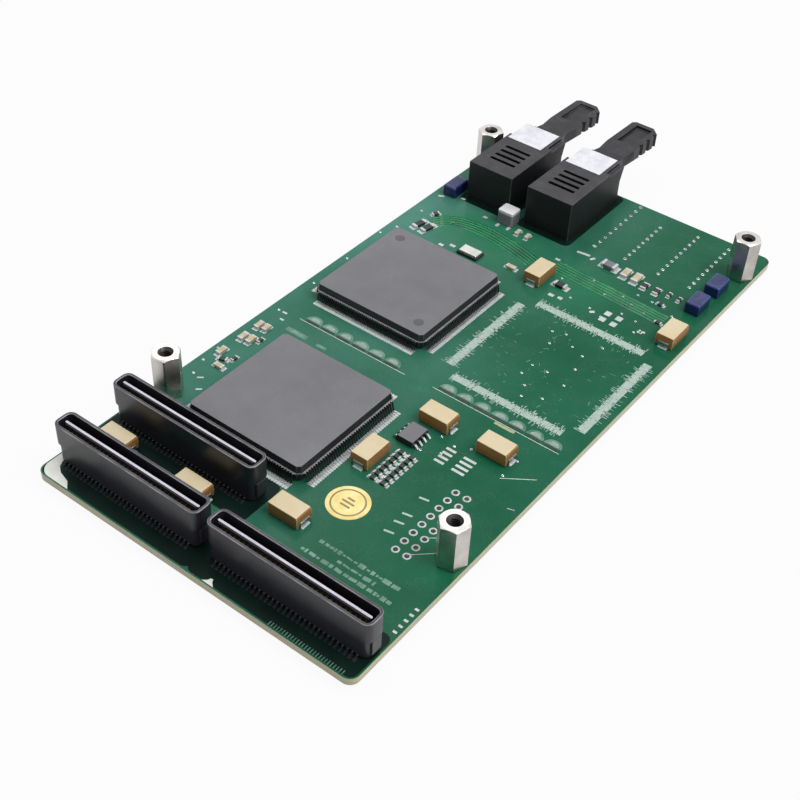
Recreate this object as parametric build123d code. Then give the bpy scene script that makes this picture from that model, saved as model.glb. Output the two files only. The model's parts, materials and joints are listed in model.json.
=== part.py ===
from build123d import *
import math
import os

# Optical network mezzanine card, in millimetres. +Z is up and +Y points towards the two optical ports.
# The origin is under the middle of the whole module, in the plane that the screw heads rest on.
# Places on the board give the edge that x is measured from and the distance to it, then what the length is
# measured from, "rear" or "front" edge or the "middle" of the front controller, and that distance.

# Circuit board
board_width = 74.0
board_length = 149.0
board_thickness = 1.6
board_corner_radius = 2.0

# Hexagonal standoffs, threaded blind from both ends
standoff_height = 10.0
standoff_across_flats = 5.3
standoff_edge_inset = 3.1
standoff_rear_inset = 30.8
standoff_front_inset = 10.0
standoff_chamfer = 0.4
thread_radius = 1.05
upper_thread_depth = 5.0
lower_thread_depth = 3.6
standoff_turns = {"rear_left": 8, "rear_right": 13, "front_left": 21, "front_right": 4}

# Pan head screws that hold the standoffs from below
screw_head_radius = 2.25
screw_head_height = 1.6
screw_engagement = 3.0
screw_hole_radius = 1.35
thread_slack = 0.02

# Board to board connectors
shell_width = 4.7
shell_height = 9.0
shell_wall = 0.6
shell_corner_radius = 1.5
shell_floor_height = 2.2
shell_board_gap = 0.35
shell_foot_height = 4.4
shell_foot_inset = 0.25
lug_width = 2.4
lug_reach = 0.45
lug_bottom = 1.0
shell_right_inset = 0.4
shell_left_inset = 0.8
shell_gap = 2.0
shell_length = (board_width - shell_left_inset - shell_gap - shell_right_inset) / 2
rear_row_inset = 6.8
row_pitch = 14.1

# Contact tongue and its contacts
tongue_end_gap = 1.55
tongue_length = shell_length - 2 * tongue_end_gap
tongue_thickness = 0.9
tongue_below_rim = 0.6
tongue_tip_chamfer = 0.2
tongue_seat_reach = 0.6
contact_pitch = 1.0
contact_width = 0.45
contact_end_margin = 0.1
contacts_per_side = int((tongue_length - contact_width - 2 * contact_end_margin) / contact_pitch) + 1
contact_thickness = 0.18
contact_below_tip = 1.3
contact_slot_clearance = 0.12

# Gull wing packages, shared sizes
package_size = 28.0
package_thickness = 3.4
package_board_gap = 0.35
package_draft = 9.0
package_corner_chamfer = 0.8
package_seam_height = 0.12
package_seam_proud = 0.12
lead_thickness = 0.15
lead_shoulder = 0.35
lead_foot = 0.55

# Front controller, fine pitch
front_controller_from_left = 19.2
front_controller_share = 0.578
front_lead_pitch = 0.5
front_leads_per_side = 52
front_lead_width = 0.22
front_lead_reach = 1.3

# Rear controller, coarser pitch
rear_controller_place = ("left", 25.0, "rear", 41.8)
rear_lead_pitch = 0.65
rear_leads_per_side = 40
rear_lead_width = 0.3
rear_lead_reach = 1.6

# Moulded tantalum capacitors: place and turn about Z. The third stands beside the inner connector.
capacitor_length = 7.0
capacitor_width = 4.2
capacitor_height = 2.8
capacitor_board_gap = 0.12
capacitor_draft = 5.0
capacitor_bevel = 0.7
terminal_width = 2.4
terminal_thickness = 0.14
terminal_foot = 1.3
terminal_rise = 1.4
capacitor_3_gap = 3.0
capacitor_3_from_left = shell_left_inset + shell_length + capacitor_3_gap + capacitor_length / 2
capacitor_places = {
    "capacitor_1": ("left", 6.6, "rear", 14.0, 0),
    "capacitor_2": ("left", 25.7, "rear", 14.0, 0),
    "capacitor_3": ("left", capacitor_3_from_left, "rear", 20.9, 0),
    "capacitor_4": ("left", 44.4, "rear", 41.6, 90),
    "capacitor_5": ("left", 48.5, "rear", 57.4, 0),
    "capacitor_6": ("left", 61.9, "rear", 57.5, 0),
    "capacitor_7": ("left", 37.6, "middle", 23.0, 90),
    "capacitor_8": ("right", 3.7, "middle", 23.1, 90),
}

# Eight lead small outline package
small_chip_place = ("left", 47.1, "rear", 50.8)
small_chip_width = 3.9
small_chip_length = 4.9
small_chip_thickness = 1.4
small_chip_board_gap = 0.15
small_chip_bevel = 0.35
small_lead_pitch = 1.27
small_lead_width = 0.42
small_lead_reach = 1.05

# Surface mounted crystal oscillator
oscillator_place = ("left", 21.1, "middle", 20.2)
oscillator_length = 5.2
oscillator_width = 3.2
oscillator_base_height = 0.7
oscillator_lid_height = 0.45
oscillator_lid_margin = 0.3

# Shielded inductor with a pale cap
inductor_width = 4.0
inductor_depth = 3.4
inductor_body_height = 2.8
inductor_cap_height = 0.7
inductor_bevel = 0.25

# Blue moulded blocks
blue_block_width = 3.4
blue_block_length = 5.4
blue_block_height = 2.8
blue_block_bevel = 0.3
blue_block_places = {
    "blue_block_left": ("left", 3.8, "front", 24.4),
    "blue_block_near": ("right", 4.6, "front", 27.0),
    "blue_block_far": ("right", 4.4, "front", 18.6),
}

# Optical transceivers, their front set back from the board's front edge and hollowed below a lip
transceiver_pitch = 16.1
transceivers_from_left = 21.0
housing_setback = 1.3
housing_width = 11.8
housing_length = 23.1
housing_height = 9.8
housing_wall = 0.9
front_lip_height = 0.6
front_hollow_depth = 1.2
front_hollow_start = 5.5
front_hollow_end = 2.5
side_step = 1.2
side_step_depth = 0.8
side_step_from_front = 6.4
louver_count = 4
louver_pitch = 2.1
louver_length = 6.8
louver_width = 0.95
louver_first_inset = 4.8
port_axis_height = 6.1
port_width = 7.8
port_height = 5.6
port_depth = 11.0
ferrule_width = 4.4
ferrule_height = 2.4
ferrule_length = 5.0
optics_width = 8.6
optics_length = 5.2
inner_board_thickness = 0.8
inner_clearance = 0.15
base_thickness = 1.2
base_rail_height = 0.8
base_rail_width = 1.0
pin_size = 0.5
pin_hole_size = 0.8
pin_pitch = 1.78
pins_per_row = 5
pin_row_spacing = 6.2
pin_projection = 0.8

# Label on each transceiver, a little off its middle
label_width = 9.1
label_length = 8.2
label_thickness = 0.12
label_from_front = 0.3
label_offset = -0.6

# Place of the inductor, close behind the transceivers
inductor_gap = 0.4
inductor_from_front = housing_setback + housing_length + inductor_gap + inductor_depth / 2
inductor_place = ("left", 20.3, "front", inductor_from_front)

# Dust plugs
plug_clearance = 0.12
plug_seat_gap = 0.05
plug_insert_length = 10.0
plug_insert_taper_length = 1.0
plug_insert_taper = 0.35
plug_corner = 0.8
plug_pocket_clearance = 0.35
plug_collar_length = 0.8
plug_collar_overlap = 0.45
plug_throat_length = 3.0
plug_throat_width = 8.0
plug_throat_top = 8.6
plug_throat_bottom = 3.6
plug_neck_length = 4.3
plug_neck_width = 6.6
plug_neck_top = 8.6
plug_neck_bottom = 5.6
grip_length = 12.95
grip_width = 7.6
grip_near_top = 8.4
grip_near_bottom = 5.7
grip_far_top = 8.0
grip_far_bottom = 4.6
grip_right_corner = 2.0
grip_left_corner = 0.8
grip_panel_width = 4.2
grip_panel_length = 9.5
grip_panel_from_end = 1.4
grip_panel_depth = 0.45
grip_notch_count = 3
grip_notch_pitch = 3.3
grip_first_notch = 3.6
grip_notch_size = 1.1

# Places that follow from the sizes above
port_face = board_length - housing_setback
plug_reach = plug_seat_gap + plug_collar_length + plug_throat_length + plug_neck_length + grip_length
module_length = port_face + plug_reach
rear_edge = -module_length / 2
board_top = screw_head_height + board_thickness
front_controller_inset = front_controller_share * board_length
housing_rear = port_face - housing_length


def on_board(shape, x, inset, turn=0.0):
    """Sets a shape on the board: inset is its distance from the rear edge."""
    return Pos(x, rear_edge + inset, board_top) * (Rot(0, 0, turn) * shape)


def find(side, across, end, along):
    """X and distance from the rear edge of a place on the board."""
    x = across - board_width / 2 if side == "left" else board_width / 2 - across
    starts = {"rear": along, "front": board_length - along, "middle": front_controller_inset + along}
    return x, starts[end]


def block(width, depth, height, bottom=0.0):
    """A box centred in X and Y whose lowest face is at the given height."""
    return Pos(0, 0, bottom + height / 2) * Box(width, depth, height)


def rod(radius, height, bottom=0.0):
    """A cylinder along Z whose lowest face is at the given height."""
    return Pos(0, 0, bottom + height / 2) * Cylinder(radius, height)


def swept_profile(points, width):
    """A closed profile in the YZ plane, given width along X and centred on it."""
    outline = make_face(Plane.YZ * Polyline(*points, close=True))
    return extrude(outline, width / 2, both=True)


def standoff_places():
    """Name, x and distance from the rear edge of each standoff."""
    x = board_width / 2 - standoff_edge_inset
    front = board_length - standoff_front_inset
    return {
        "rear_left": (-x, standoff_rear_inset),
        "rear_right": (x, standoff_rear_inset),
        "front_left": (-x, front),
        "front_right": (x, front),
    }


def transceiver_places():
    """Name and x of each transceiver."""
    middle = transceivers_from_left - board_width / 2
    half = transceiver_pitch / 2
    return {"left": middle - half, "right": middle + half}


def connector_places():
    """Name, x and distance from the rear edge of each connector."""
    right = board_width / 2 - shell_right_inset - shell_length / 2
    left = right - shell_length - shell_gap
    return {
        "rear_left": (left, rear_row_inset),
        "rear_right": (right, rear_row_inset),
        "inner": (left, rear_row_inset + row_pitch),
    }


def circuit_board():
    """The board, with its standoff holes and the pin holes of both transceivers."""
    outline = RectangleRounded(board_width, board_length, board_corner_radius)
    board = Pos(0, board_length / 2, -board_thickness) * extrude(outline, board_thickness)
    hole = rod(screw_hole_radius, board_thickness, -board_thickness)
    for x, inset in standoff_places().values():
        board -= Pos(x, inset, 0) * hole
    pin_hole = block(pin_hole_size, pin_hole_size, board_thickness, -board_thickness)
    for x in transceiver_places().values():
        board -= [Pos(x + pin_x, pin_inset, 0) * pin_hole for pin_x, pin_inset in pin_places()]
    return on_board(board, 0, 0)


def standoff():
    """Hexagonal pillar with chamfered ends and a blind thread in each."""
    across_corners = standoff_across_flats / math.cos(math.pi / 6)
    pillar = extrude(RegularPolygon(across_corners / 2, 6), standoff_height)
    ends = pillar.faces().filter_by(Axis.Z)
    pillar = chamfer(ends.edges(), standoff_chamfer)
    pillar -= rod(thread_radius, upper_thread_depth, standoff_height - upper_thread_depth)
    pillar -= rod(thread_radius, lower_thread_depth)
    return pillar


def standoff_screw():
    """Pan head screw, head down, shank up into the standoff."""
    head = rod(screw_head_radius, screw_head_height, -screw_head_height)
    shank = rod(thread_radius - thread_slack, board_thickness + screw_engagement)
    return Pos(0, 0, -board_thickness) * (head + shank)


def connector_shell():
    """Moulded shroud: recessed foot with end lugs, thin rounded wall and a slot for the tongue."""
    rim_outline = RectangleRounded(shell_length, shell_width, shell_corner_radius)
    shell = Pos(0, 0, shell_foot_height) * extrude(rim_outline, shell_height - shell_foot_height)
    foot_outline = Rectangle(shell_length - 2 * lug_reach, shell_width - 2 * shell_foot_inset)
    foot_outline = chamfer(foot_outline.vertices(), shell_corner_radius - shell_foot_inset)
    shell += Pos(0, 0, shell_board_gap) * extrude(foot_outline, shell_foot_height - shell_board_gap)
    shell += block(shell_length, lug_width, shell_foot_height - lug_bottom, lug_bottom)
    cavity_outline = Rectangle(shell_length - 2 * shell_wall, shell_width - 2 * shell_wall)
    cavity_outline = chamfer(cavity_outline.vertices(), shell_corner_radius - shell_wall)
    upper = extrude(cavity_outline, shell_height - shell_foot_height)
    shell -= Pos(0, 0, shell_foot_height) * upper
    lower_outline = Rectangle(
        shell_length - 2 * (shell_wall + lug_reach),
        shell_width - 2 * (shell_wall + shell_foot_inset),
    )
    lower_outline = chamfer(lower_outline.vertices(), shell_corner_radius - shell_wall)
    shell -= Pos(0, 0, shell_floor_height) * extrude(lower_outline, shell_foot_height - shell_floor_height)
    slot_width = tongue_thickness + 2 * (contact_thickness + contact_slot_clearance)
    shell -= block(tongue_length + 2 * tongue_seat_reach, slot_width, shell_floor_height)
    return shell


def connector_tongue():
    """Upright tongue with a tapered tip, held in the shell's slot by a wider seat beyond each end."""
    tip = shell_height - tongue_below_rim
    half = tongue_thickness / 2
    profile = [
        (-half, shell_board_gap),
        (half, shell_board_gap),
        (half, tip - tongue_tip_chamfer),
        (half - tongue_tip_chamfer, tip),
        (tongue_tip_chamfer - half, tip),
        (-half, tip - tongue_tip_chamfer),
    ]
    tongue = swept_profile(profile, tongue_length)
    seat_width = tongue_thickness + 2 * (contact_thickness + contact_slot_clearance)
    seat = block(tongue_seat_reach, seat_width, shell_floor_height - shell_board_gap, shell_board_gap)
    for side in (-1, 1):
        tongue += Pos(side * (tongue_length + tongue_seat_reach) / 2, 0, 0) * seat
    return tongue


def connector_contacts():
    """Two rows of flat contacts, from the board up both faces of the tongue."""
    height = shell_height - tongue_below_rim - contact_below_tip
    blade = block(contact_width, contact_thickness, height)
    first = -(contacts_per_side - 1) * contact_pitch / 2
    offset = (tongue_thickness + contact_thickness) / 2
    return [
        Pos(first + number * contact_pitch, side * offset, 0) * blade
        for side in (-1, 1)
        for number in range(contacts_per_side)
    ]


def package_body():
    """Square moulded package: two drafted halves either side of a proud seam."""
    half_height = (package_thickness - package_seam_height) / 2
    outline = chamfer(Rectangle(package_size, package_size).vertices(), package_corner_chamfer)
    seam_size = package_size + 2 * package_seam_proud
    seam_outline = chamfer(Rectangle(seam_size, seam_size).vertices(), package_corner_chamfer)
    upper = extrude(outline, half_height, taper=package_draft)
    lower = mirror(upper, Plane.XY)
    seam = extrude(seam_outline, package_seam_height)
    middle = package_board_gap + half_height
    body = Pos(0, 0, middle + package_seam_height) * upper
    body += Pos(0, 0, middle) * seam
    return body + Pos(0, 0, middle) * lower


def gull_lead(body_edge, exit_height, width, reach):
    """One formed lead: out of the body at exit_height, down, and a flat foot on the board."""
    profile = [
        (body_edge, exit_height - lead_thickness),
        (body_edge, exit_height),
        (body_edge + lead_shoulder, exit_height),
        (body_edge + reach, lead_thickness),
        (body_edge + reach, 0),
        (body_edge + reach - lead_foot, 0),
    ]
    return swept_profile(profile, width)


def fine_lead(body_edge, exit_height, width, reach):
    """One fine lead: a strip from the package's seam down to its foot on the board."""
    profile = [
        (body_edge, exit_height - lead_thickness),
        (body_edge, exit_height),
        (body_edge + reach, 0),
        (body_edge + reach - lead_foot, 0),
    ]
    return swept_profile(profile, width)


def package_leads(pitch, per_side, width, reach):
    """Leads on all four sides of a square package."""
    edge = package_size / 2 + package_seam_proud
    exit_height = package_board_gap + (package_thickness + package_seam_height) / 2
    lead = fine_lead(edge, exit_height, width, reach)
    first = -(per_side - 1) * pitch / 2
    return [
        Rot(0, 0, quarter * 90) * (Pos(first + number * pitch, 0, 0) * lead)
        for quarter in range(4)
        for number in range(per_side)
    ]


def capacitor_body():
    """Moulded capacitor with drafted sides and a bevelled top edge at its marked end."""
    half_height = capacitor_height / 2
    outline = Rectangle(capacitor_length, capacitor_width)
    upper = extrude(outline, half_height, taper=capacitor_draft)
    lower = mirror(upper, Plane.XY)
    body = Pos(0, 0, capacitor_board_gap + half_height) * (upper + lower)
    top = capacitor_board_gap + capacitor_height
    end = capacitor_length / 2 - half_height * math.tan(math.radians(capacitor_draft))
    bevel = make_face(
        Plane.XZ
        * Polyline(
            (end - capacitor_bevel, top + capacitor_bevel),
            (end + capacitor_bevel, top + capacitor_bevel),
            (end + capacitor_bevel, top - 2 * capacitor_bevel),
            close=True,
        )
    )
    return body - extrude(bevel, capacitor_width, both=True)


def capacitor_terminals():
    """The two formed terminals: a foot under the body and a tab up each end."""
    end = capacitor_length / 2
    gap = capacitor_board_gap
    profile = [
        (end - terminal_foot, 0),
        (end + terminal_thickness, 0),
        (end + terminal_thickness, terminal_rise),
        (end, terminal_rise),
        (end, gap),
        (end - terminal_foot, gap),
    ]
    terminal = swept_profile(profile, terminal_width)
    return [Rot(0, 0, turn) * terminal for turn in (-90, 90)]


def small_chip_body():
    """Small outline package with a bevel along its pin one side."""
    body = block(small_chip_width, small_chip_length, small_chip_thickness, small_chip_board_gap)
    top_edge = body.edges().filter_by(Axis.Y).group_by(Axis.Z)[-1].sort_by(Axis.X)[0]
    return chamfer(top_edge, small_chip_bevel)


def small_chip_leads():
    """Four formed leads on each long side."""
    edge = small_chip_width / 2
    exit_height = small_chip_board_gap + small_chip_thickness / 2
    lead = gull_lead(edge, exit_height, small_lead_width, small_lead_reach)
    first = -1.5 * small_lead_pitch
    return [
        Rot(0, 0, turn) * (Pos(first + number * small_lead_pitch, 0, 0) * lead)
        for turn in (-90, 90)
        for number in range(4)
    ]


def oscillator_base():
    """Ceramic tray of the oscillator."""
    return block(oscillator_length, oscillator_width, oscillator_base_height)


def oscillator_lid():
    """Metal lid welded on the tray."""
    lid = block(
        oscillator_length - 2 * oscillator_lid_margin,
        oscillator_width - 2 * oscillator_lid_margin,
        oscillator_lid_height,
        oscillator_base_height,
    )
    return chamfer(lid.faces().sort_by(Axis.Z)[-1].edges(), oscillator_lid_height / 3)


def inductor_body():
    """Ferrite body of the inductor, with its upright corners broken."""
    body = block(inductor_width, inductor_depth, inductor_body_height)
    return chamfer(body.edges().filter_by(Axis.Z), inductor_bevel)


def inductor_cap():
    """Pale cap that a placing machine picks the inductor up by."""
    cap = block(inductor_width, inductor_depth, inductor_cap_height, inductor_body_height)
    return chamfer(cap.edges().filter_by(Axis.Z), inductor_bevel)


def blue_block():
    """Blue moulded block with a broken top edge."""
    body = block(blue_block_width, blue_block_length, blue_block_height)
    return chamfer(body.faces().sort_by(Axis.Z)[-1].edges(), blue_block_bevel)


def chamber_front():
    """Distance from the rear edge to the chamber's front wall, behind the port."""
    return port_face - port_depth


def base_middle():
    """Distance from the rear edge to the middle of a transceiver's base."""
    return (housing_rear + housing_wall + chamber_front()) / 2


def base_length():
    """Length of a transceiver's base, inside the chamber."""
    return chamber_front() - housing_rear - housing_wall - 2 * inner_clearance


def inner_width():
    """Width of what fits inside a transceiver's chamber."""
    return housing_width - 2 * (housing_wall + inner_clearance)


def transceiver_housing():
    """Moulded cover: open below, louvres over the chamber, port under a lip at the front."""
    face = port_face - front_hollow_depth
    profile = Polyline(
        (housing_rear, 0),
        (housing_rear, housing_height),
        (port_face, housing_height),
        (port_face, housing_height - front_lip_height),
        (face, front_hollow_start),
        (face, front_hollow_end),
        (face + front_hollow_depth / 3, 0),
        close=True,
    )
    housing = extrude(Plane.YZ * make_face(profile), housing_width / 2, both=True)
    chamber = block(
        housing_width - 2 * housing_wall,
        chamber_front() - housing_rear - housing_wall,
        housing_height - housing_wall,
    )
    housing -= Pos(0, base_middle(), 0) * chamber
    port = Box(port_width, port_depth, port_height)
    housing -= Pos(0, port_face - port_depth / 2, port_axis_height) * port
    for number in range(louver_count):
        louver = block(louver_length, louver_width, 2 * housing_wall, housing_height - 1.5 * housing_wall)
        housing -= Pos(0, housing_rear + louver_first_inset + number * louver_pitch, 0) * louver
    for side in (-1, 1):
        step = block(side_step, side_step_from_front, side_step_depth, housing_height - side_step_depth)
        x = side * (housing_width - side_step) / 2
        housing -= Pos(x, port_face - side_step_from_front / 2, 0) * step
    return housing


def pin_places():
    """X from a transceiver's middle and distance from the rear edge of each of its pins."""
    first = base_middle() - (pins_per_row - 1) * pin_pitch / 2
    return [
        (side * pin_row_spacing / 2, first + number * pin_pitch)
        for side in (-1, 1)
        for number in range(pins_per_row)
    ]


def transceiver_base():
    """Base plate with two rails for the inner board."""
    base = block(inner_width(), base_length(), base_thickness)
    for side in (-1, 1):
        rail = block(base_rail_width, base_length(), base_rail_height, base_thickness)
        base += Pos(side * (inner_width() - base_rail_width) / 2, 0, 0) * rail
    return Pos(0, base_middle(), 0) * base


def transceiver_pins():
    """Two rows of square pins, from the base down through the circuit board."""
    length = board_thickness + pin_projection
    pin = block(pin_size, pin_size, length, -length)
    return [Pos(x, inset, 0) * pin for x, inset in pin_places()]


def transceiver_board():
    """Inner circuit board on the base's rails."""
    bottom = base_thickness + base_rail_height
    board = block(inner_width(), base_length(), inner_board_thickness, bottom)
    return Pos(0, base_middle(), 0) * board


def transceiver_optics():
    """Optics block on the inner board, with its ferrule reaching into the port."""
    bottom = base_thickness + base_rail_height + inner_board_thickness
    top = port_axis_height + port_height / 2
    middle = chamber_front() - optics_length / 2
    optics = Pos(0, middle, 0) * block(optics_width, optics_length, top - bottom, bottom)
    ferrule = Box(ferrule_width, ferrule_length, ferrule_height)
    optics += Pos(0, chamber_front() + ferrule_length / 2, port_axis_height) * ferrule
    return optics


def transceiver_label():
    """Blank label on the top face, close to the front."""
    label = block(label_width, label_length, label_thickness, housing_height)
    return Pos(label_offset, port_face - label_from_front - label_length / 2, 0) * label


def plug_section(width, height, y):
    """A cross-section of the dust plug with broken corners, square to Y."""
    plane = Plane((0, y, port_axis_height), (1, 0, 0), (0, 1, 0))
    return plane * chamfer(Rectangle(width, height).vertices(), plug_corner)


def dust_plug():
    """Dust plug: hollow tapered insert and a collar, with the handle outside."""
    insert_width = port_width - 2 * plug_clearance
    insert_height = port_height - 2 * plug_clearance
    face = port_face + plug_seat_gap
    tip = face - plug_insert_length
    shoulder = tip + plug_insert_taper_length
    nose_width = insert_width - 2 * plug_insert_taper
    nose_height = insert_height - 2 * plug_insert_taper
    nose_end = plug_section(insert_width, insert_height, shoulder)
    plug = loft([plug_section(nose_width, nose_height, tip), nose_end])
    plug += loft([nose_end, plug_section(insert_width, insert_height, face)])
    collar_end = face + plug_collar_length
    collar_width = port_width + 2 * plug_collar_overlap
    collar_height = port_height + 2 * plug_collar_overlap
    plug += loft([plug_section(collar_width, collar_height, y) for y in (face, collar_end)])
    pocket_width = ferrule_width + 2 * plug_pocket_clearance
    pocket_height = ferrule_height + 2 * plug_pocket_clearance
    pocket = Pos(0, tip + plug_insert_length / 2, port_axis_height)
    plug -= pocket * Box(pocket_width, plug_insert_length, pocket_height)
    return plug + dust_plug_handle(collar_end)


def dust_plug_handle(start):
    """Throat, flat neck and a grip that thickens outwards, with a sunk panel and notches on its right edge."""
    waist = start + plug_throat_length
    neck_end = waist + plug_neck_length
    end = neck_end + grip_length
    side_view = [
        (start, plug_throat_bottom),
        (start, plug_throat_top),
        (waist, plug_neck_top),
        (neck_end, grip_near_top),
        (end, grip_far_top),
        (end, grip_far_bottom),
        (neck_end, grip_near_bottom),
        (waist, plug_neck_bottom),
    ]
    half = grip_width / 2
    plan = [
        (-plug_throat_width / 2, start),
        (-plug_neck_width / 2, waist),
        (-half, neck_end),
        (-half, end - grip_left_corner),
        (grip_left_corner - half, end),
        (half - grip_right_corner, end),
        (half, end - grip_right_corner),
        (half, neck_end),
        (plug_neck_width / 2, waist),
        (plug_throat_width / 2, start),
    ]
    outline = make_face(Polyline(*plan, close=True))
    handle = swept_profile(side_view, plug_throat_width) & extrude(outline, plug_throat_top)
    panel = block(grip_panel_width, grip_panel_length, grip_near_top, grip_far_top - grip_panel_depth)
    handle -= Pos(0, end - grip_panel_from_end - grip_panel_length / 2, 0) * panel
    notch = Rot(0, 0, 45) * block(grip_notch_size, grip_notch_size, plug_throat_top)
    for number in range(grip_notch_count):
        y = neck_end + grip_first_notch + number * grip_notch_pitch
        handle -= Pos(half, y, 0) * notch
    return handle


def build_parts():
    """Every node by name, each in its place."""
    parts = {"circuit_board": circuit_board()}

    screws = []
    for name, (x, inset) in standoff_places().items():
        parts["standoff_" + name] = on_board(standoff(), x, inset, turn=standoff_turns[name])
        screws.append(on_board(standoff_screw(), x, inset))
    parts["standoff_screws"] = screws

    for name, (x, inset) in connector_places().items():
        parts[name + "_connector_shell"] = on_board(connector_shell(), x, inset)
        parts[name + "_connector_tongue"] = on_board(connector_tongue(), x, inset)
        contacts = [on_board(contact, x, inset) for contact in connector_contacts()]
        parts[name + "_connector_contacts"] = contacts

    front = find("left", front_controller_from_left, "middle", 0)
    front_leads = package_leads(front_lead_pitch, front_leads_per_side, front_lead_width, front_lead_reach)
    parts["front_controller_body"] = on_board(package_body(), *front)
    parts["front_controller_leads"] = [on_board(lead, *front) for lead in front_leads]
    rear = find(*rear_controller_place)
    rear_leads = package_leads(rear_lead_pitch, rear_leads_per_side, rear_lead_width, rear_lead_reach)
    parts["rear_controller_body"] = on_board(package_body(), *rear)
    parts["rear_controller_leads"] = [on_board(lead, *rear) for lead in rear_leads]

    terminals = []
    for name, (*place, turn) in capacitor_places.items():
        x, inset = find(*place)
        parts[name + "_body"] = on_board(capacitor_body(), x, inset, turn=turn)
        terminals += [on_board(terminal, x, inset, turn=turn) for terminal in capacitor_terminals()]
    parts["capacitor_terminals"] = terminals

    small_chip = find(*small_chip_place)
    parts["small_chip_body"] = on_board(small_chip_body(), *small_chip)
    parts["small_chip_leads"] = [on_board(lead, *small_chip) for lead in small_chip_leads()]

    parts["oscillator_base"] = on_board(oscillator_base(), *find(*oscillator_place))
    parts["oscillator_lid"] = on_board(oscillator_lid(), *find(*oscillator_place))
    parts["inductor_body"] = on_board(inductor_body(), *find(*inductor_place))
    parts["inductor_cap"] = on_board(inductor_cap(), *find(*inductor_place))
    for name, place in blue_block_places.items():
        parts[name] = on_board(blue_block(), *find(*place))

    for name, x in transceiver_places().items():
        parts[name + "_transceiver_housing"] = on_board(transceiver_housing(), x, 0)
        parts[name + "_transceiver_base"] = on_board(transceiver_base(), x, 0)
        parts[name + "_transceiver_pins"] = [on_board(pin, x, 0) for pin in transceiver_pins()]
        parts[name + "_transceiver_board"] = on_board(transceiver_board(), x, 0)
        parts[name + "_transceiver_optics"] = on_board(transceiver_optics(), x, 0)
        parts[name + "_transceiver_label"] = on_board(transceiver_label(), x, 0)
        parts[name + "_dust_plug"] = on_board(dust_plug(), x, 0)

    return parts


os.makedirs("parts", exist_ok=True)
for node, shape in build_parts().items():
    solid = Compound(shape) if isinstance(shape, list) else shape
    export_step(solid, f"parts/{node}.step")
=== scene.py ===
import bmesh
import bpy
import json
import math
import random
from mathutils import Matrix, Vector


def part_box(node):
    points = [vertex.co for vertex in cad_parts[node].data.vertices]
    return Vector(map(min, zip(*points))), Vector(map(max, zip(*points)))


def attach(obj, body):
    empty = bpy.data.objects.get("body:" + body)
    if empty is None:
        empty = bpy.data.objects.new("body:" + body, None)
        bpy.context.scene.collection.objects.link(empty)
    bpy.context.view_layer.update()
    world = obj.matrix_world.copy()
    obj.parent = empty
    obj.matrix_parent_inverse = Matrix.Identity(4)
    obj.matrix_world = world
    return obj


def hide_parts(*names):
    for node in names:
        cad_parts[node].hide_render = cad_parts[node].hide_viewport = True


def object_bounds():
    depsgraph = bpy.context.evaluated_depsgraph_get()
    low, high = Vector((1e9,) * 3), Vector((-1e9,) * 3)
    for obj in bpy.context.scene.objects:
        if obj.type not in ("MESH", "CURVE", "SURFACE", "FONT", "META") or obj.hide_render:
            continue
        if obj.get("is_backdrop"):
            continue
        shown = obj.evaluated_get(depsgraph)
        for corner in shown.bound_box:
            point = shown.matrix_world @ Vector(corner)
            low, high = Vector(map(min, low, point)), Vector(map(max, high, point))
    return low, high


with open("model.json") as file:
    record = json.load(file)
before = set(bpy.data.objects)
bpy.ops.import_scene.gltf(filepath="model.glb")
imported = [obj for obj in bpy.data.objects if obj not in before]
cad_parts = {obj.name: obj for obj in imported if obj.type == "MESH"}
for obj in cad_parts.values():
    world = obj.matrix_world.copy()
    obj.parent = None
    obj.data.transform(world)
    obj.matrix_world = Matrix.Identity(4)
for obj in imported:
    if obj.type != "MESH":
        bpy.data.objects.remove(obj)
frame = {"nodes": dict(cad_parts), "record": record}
nodes = frame["nodes"]
cad_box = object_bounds()

# Sizes below are in millimetres. Places on the board are x, then the distance from its rear edge.
MM = 0.001
board_low, board_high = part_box("circuit_board")
SHELL_STEP = 4.4

CONNECTORS = ("rear_left", "rear_right", "inner")
STANDOFFS = ("rear_left", "rear_right", "front_left", "front_right")
SIDES = ("left", "right")

# Palette
MASK_GREEN = "#055439"
MASK_DEEP_GREEN = "#034a2e"
MASK_HAZE = "#467c6d"
TRACE_GREEN = "#1d8450"
MASK_SHEEN = "#127046"
LAMINATE = "#d0ccb0"
LAMINATE_DARK = "#b3af90"
SILK = "#cfd6cf"
TIN = "#d6d8dc"
TIN_DULL = "#9c9fa6"
GOLD = "#cfa765"
NICKEL = "#e0dad4"
NICKEL_DULL = "#aaa39d"
SHROUD_BLACK = "#28272e"
# Painted highlight on the shroud's rim edges, and painted shade on its foot.
SHROUD_RIM_HIGHLIGHT = "#8d8d94"
FOOT_SHADE = "#27262e"
TONGUE_GREY = "#56555f"
# Package top, painted lighter grey as a reflection.
PACKAGE_TOP_SHEEN = "#6a6a6e"
PACKAGE_DARK = "#5d5d61"
RESIN_TAN = "#cabd9e"
RESIN_BROWN = "#c6b38e"
LABEL_WHITE = "#dcdce2"
LABEL_GREY = "#c6c7cf"
CERAMIC_BEIGE = "#bab6a0"
RESISTOR_BLACK = "#1b1b1d"
BLUE = "#17265c"
STICKER_YELLOW = "#efe3a4"
STICKER_BROWN = "#8a7d58"
PLUG_BLACK = "#151419"
RESIDUE = "#b3bcb8"
RESIDUE_GREEN = "#84a596"
DOME_GREEN = "#6d9484"
FERRITE = "#77787c"
LID = "#dddfd8"


def linear(code):
    """A colour code as the linear colour that shaders take."""
    channels = [int(code[i : i + 2], 16) / 255 for i in (1, 3, 5)]
    return (*[c / 12.92 if c < 0.04045 else ((c + 0.055) / 1.055) ** 2.4 for c in channels], 1.0)


def spot(x, inset, height=0.0):
    """A place on the board in metres: height is above the board's upper face."""
    return Vector((x * MM, board_low[1] + inset * MM, board_high[2] + height * MM))


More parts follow.
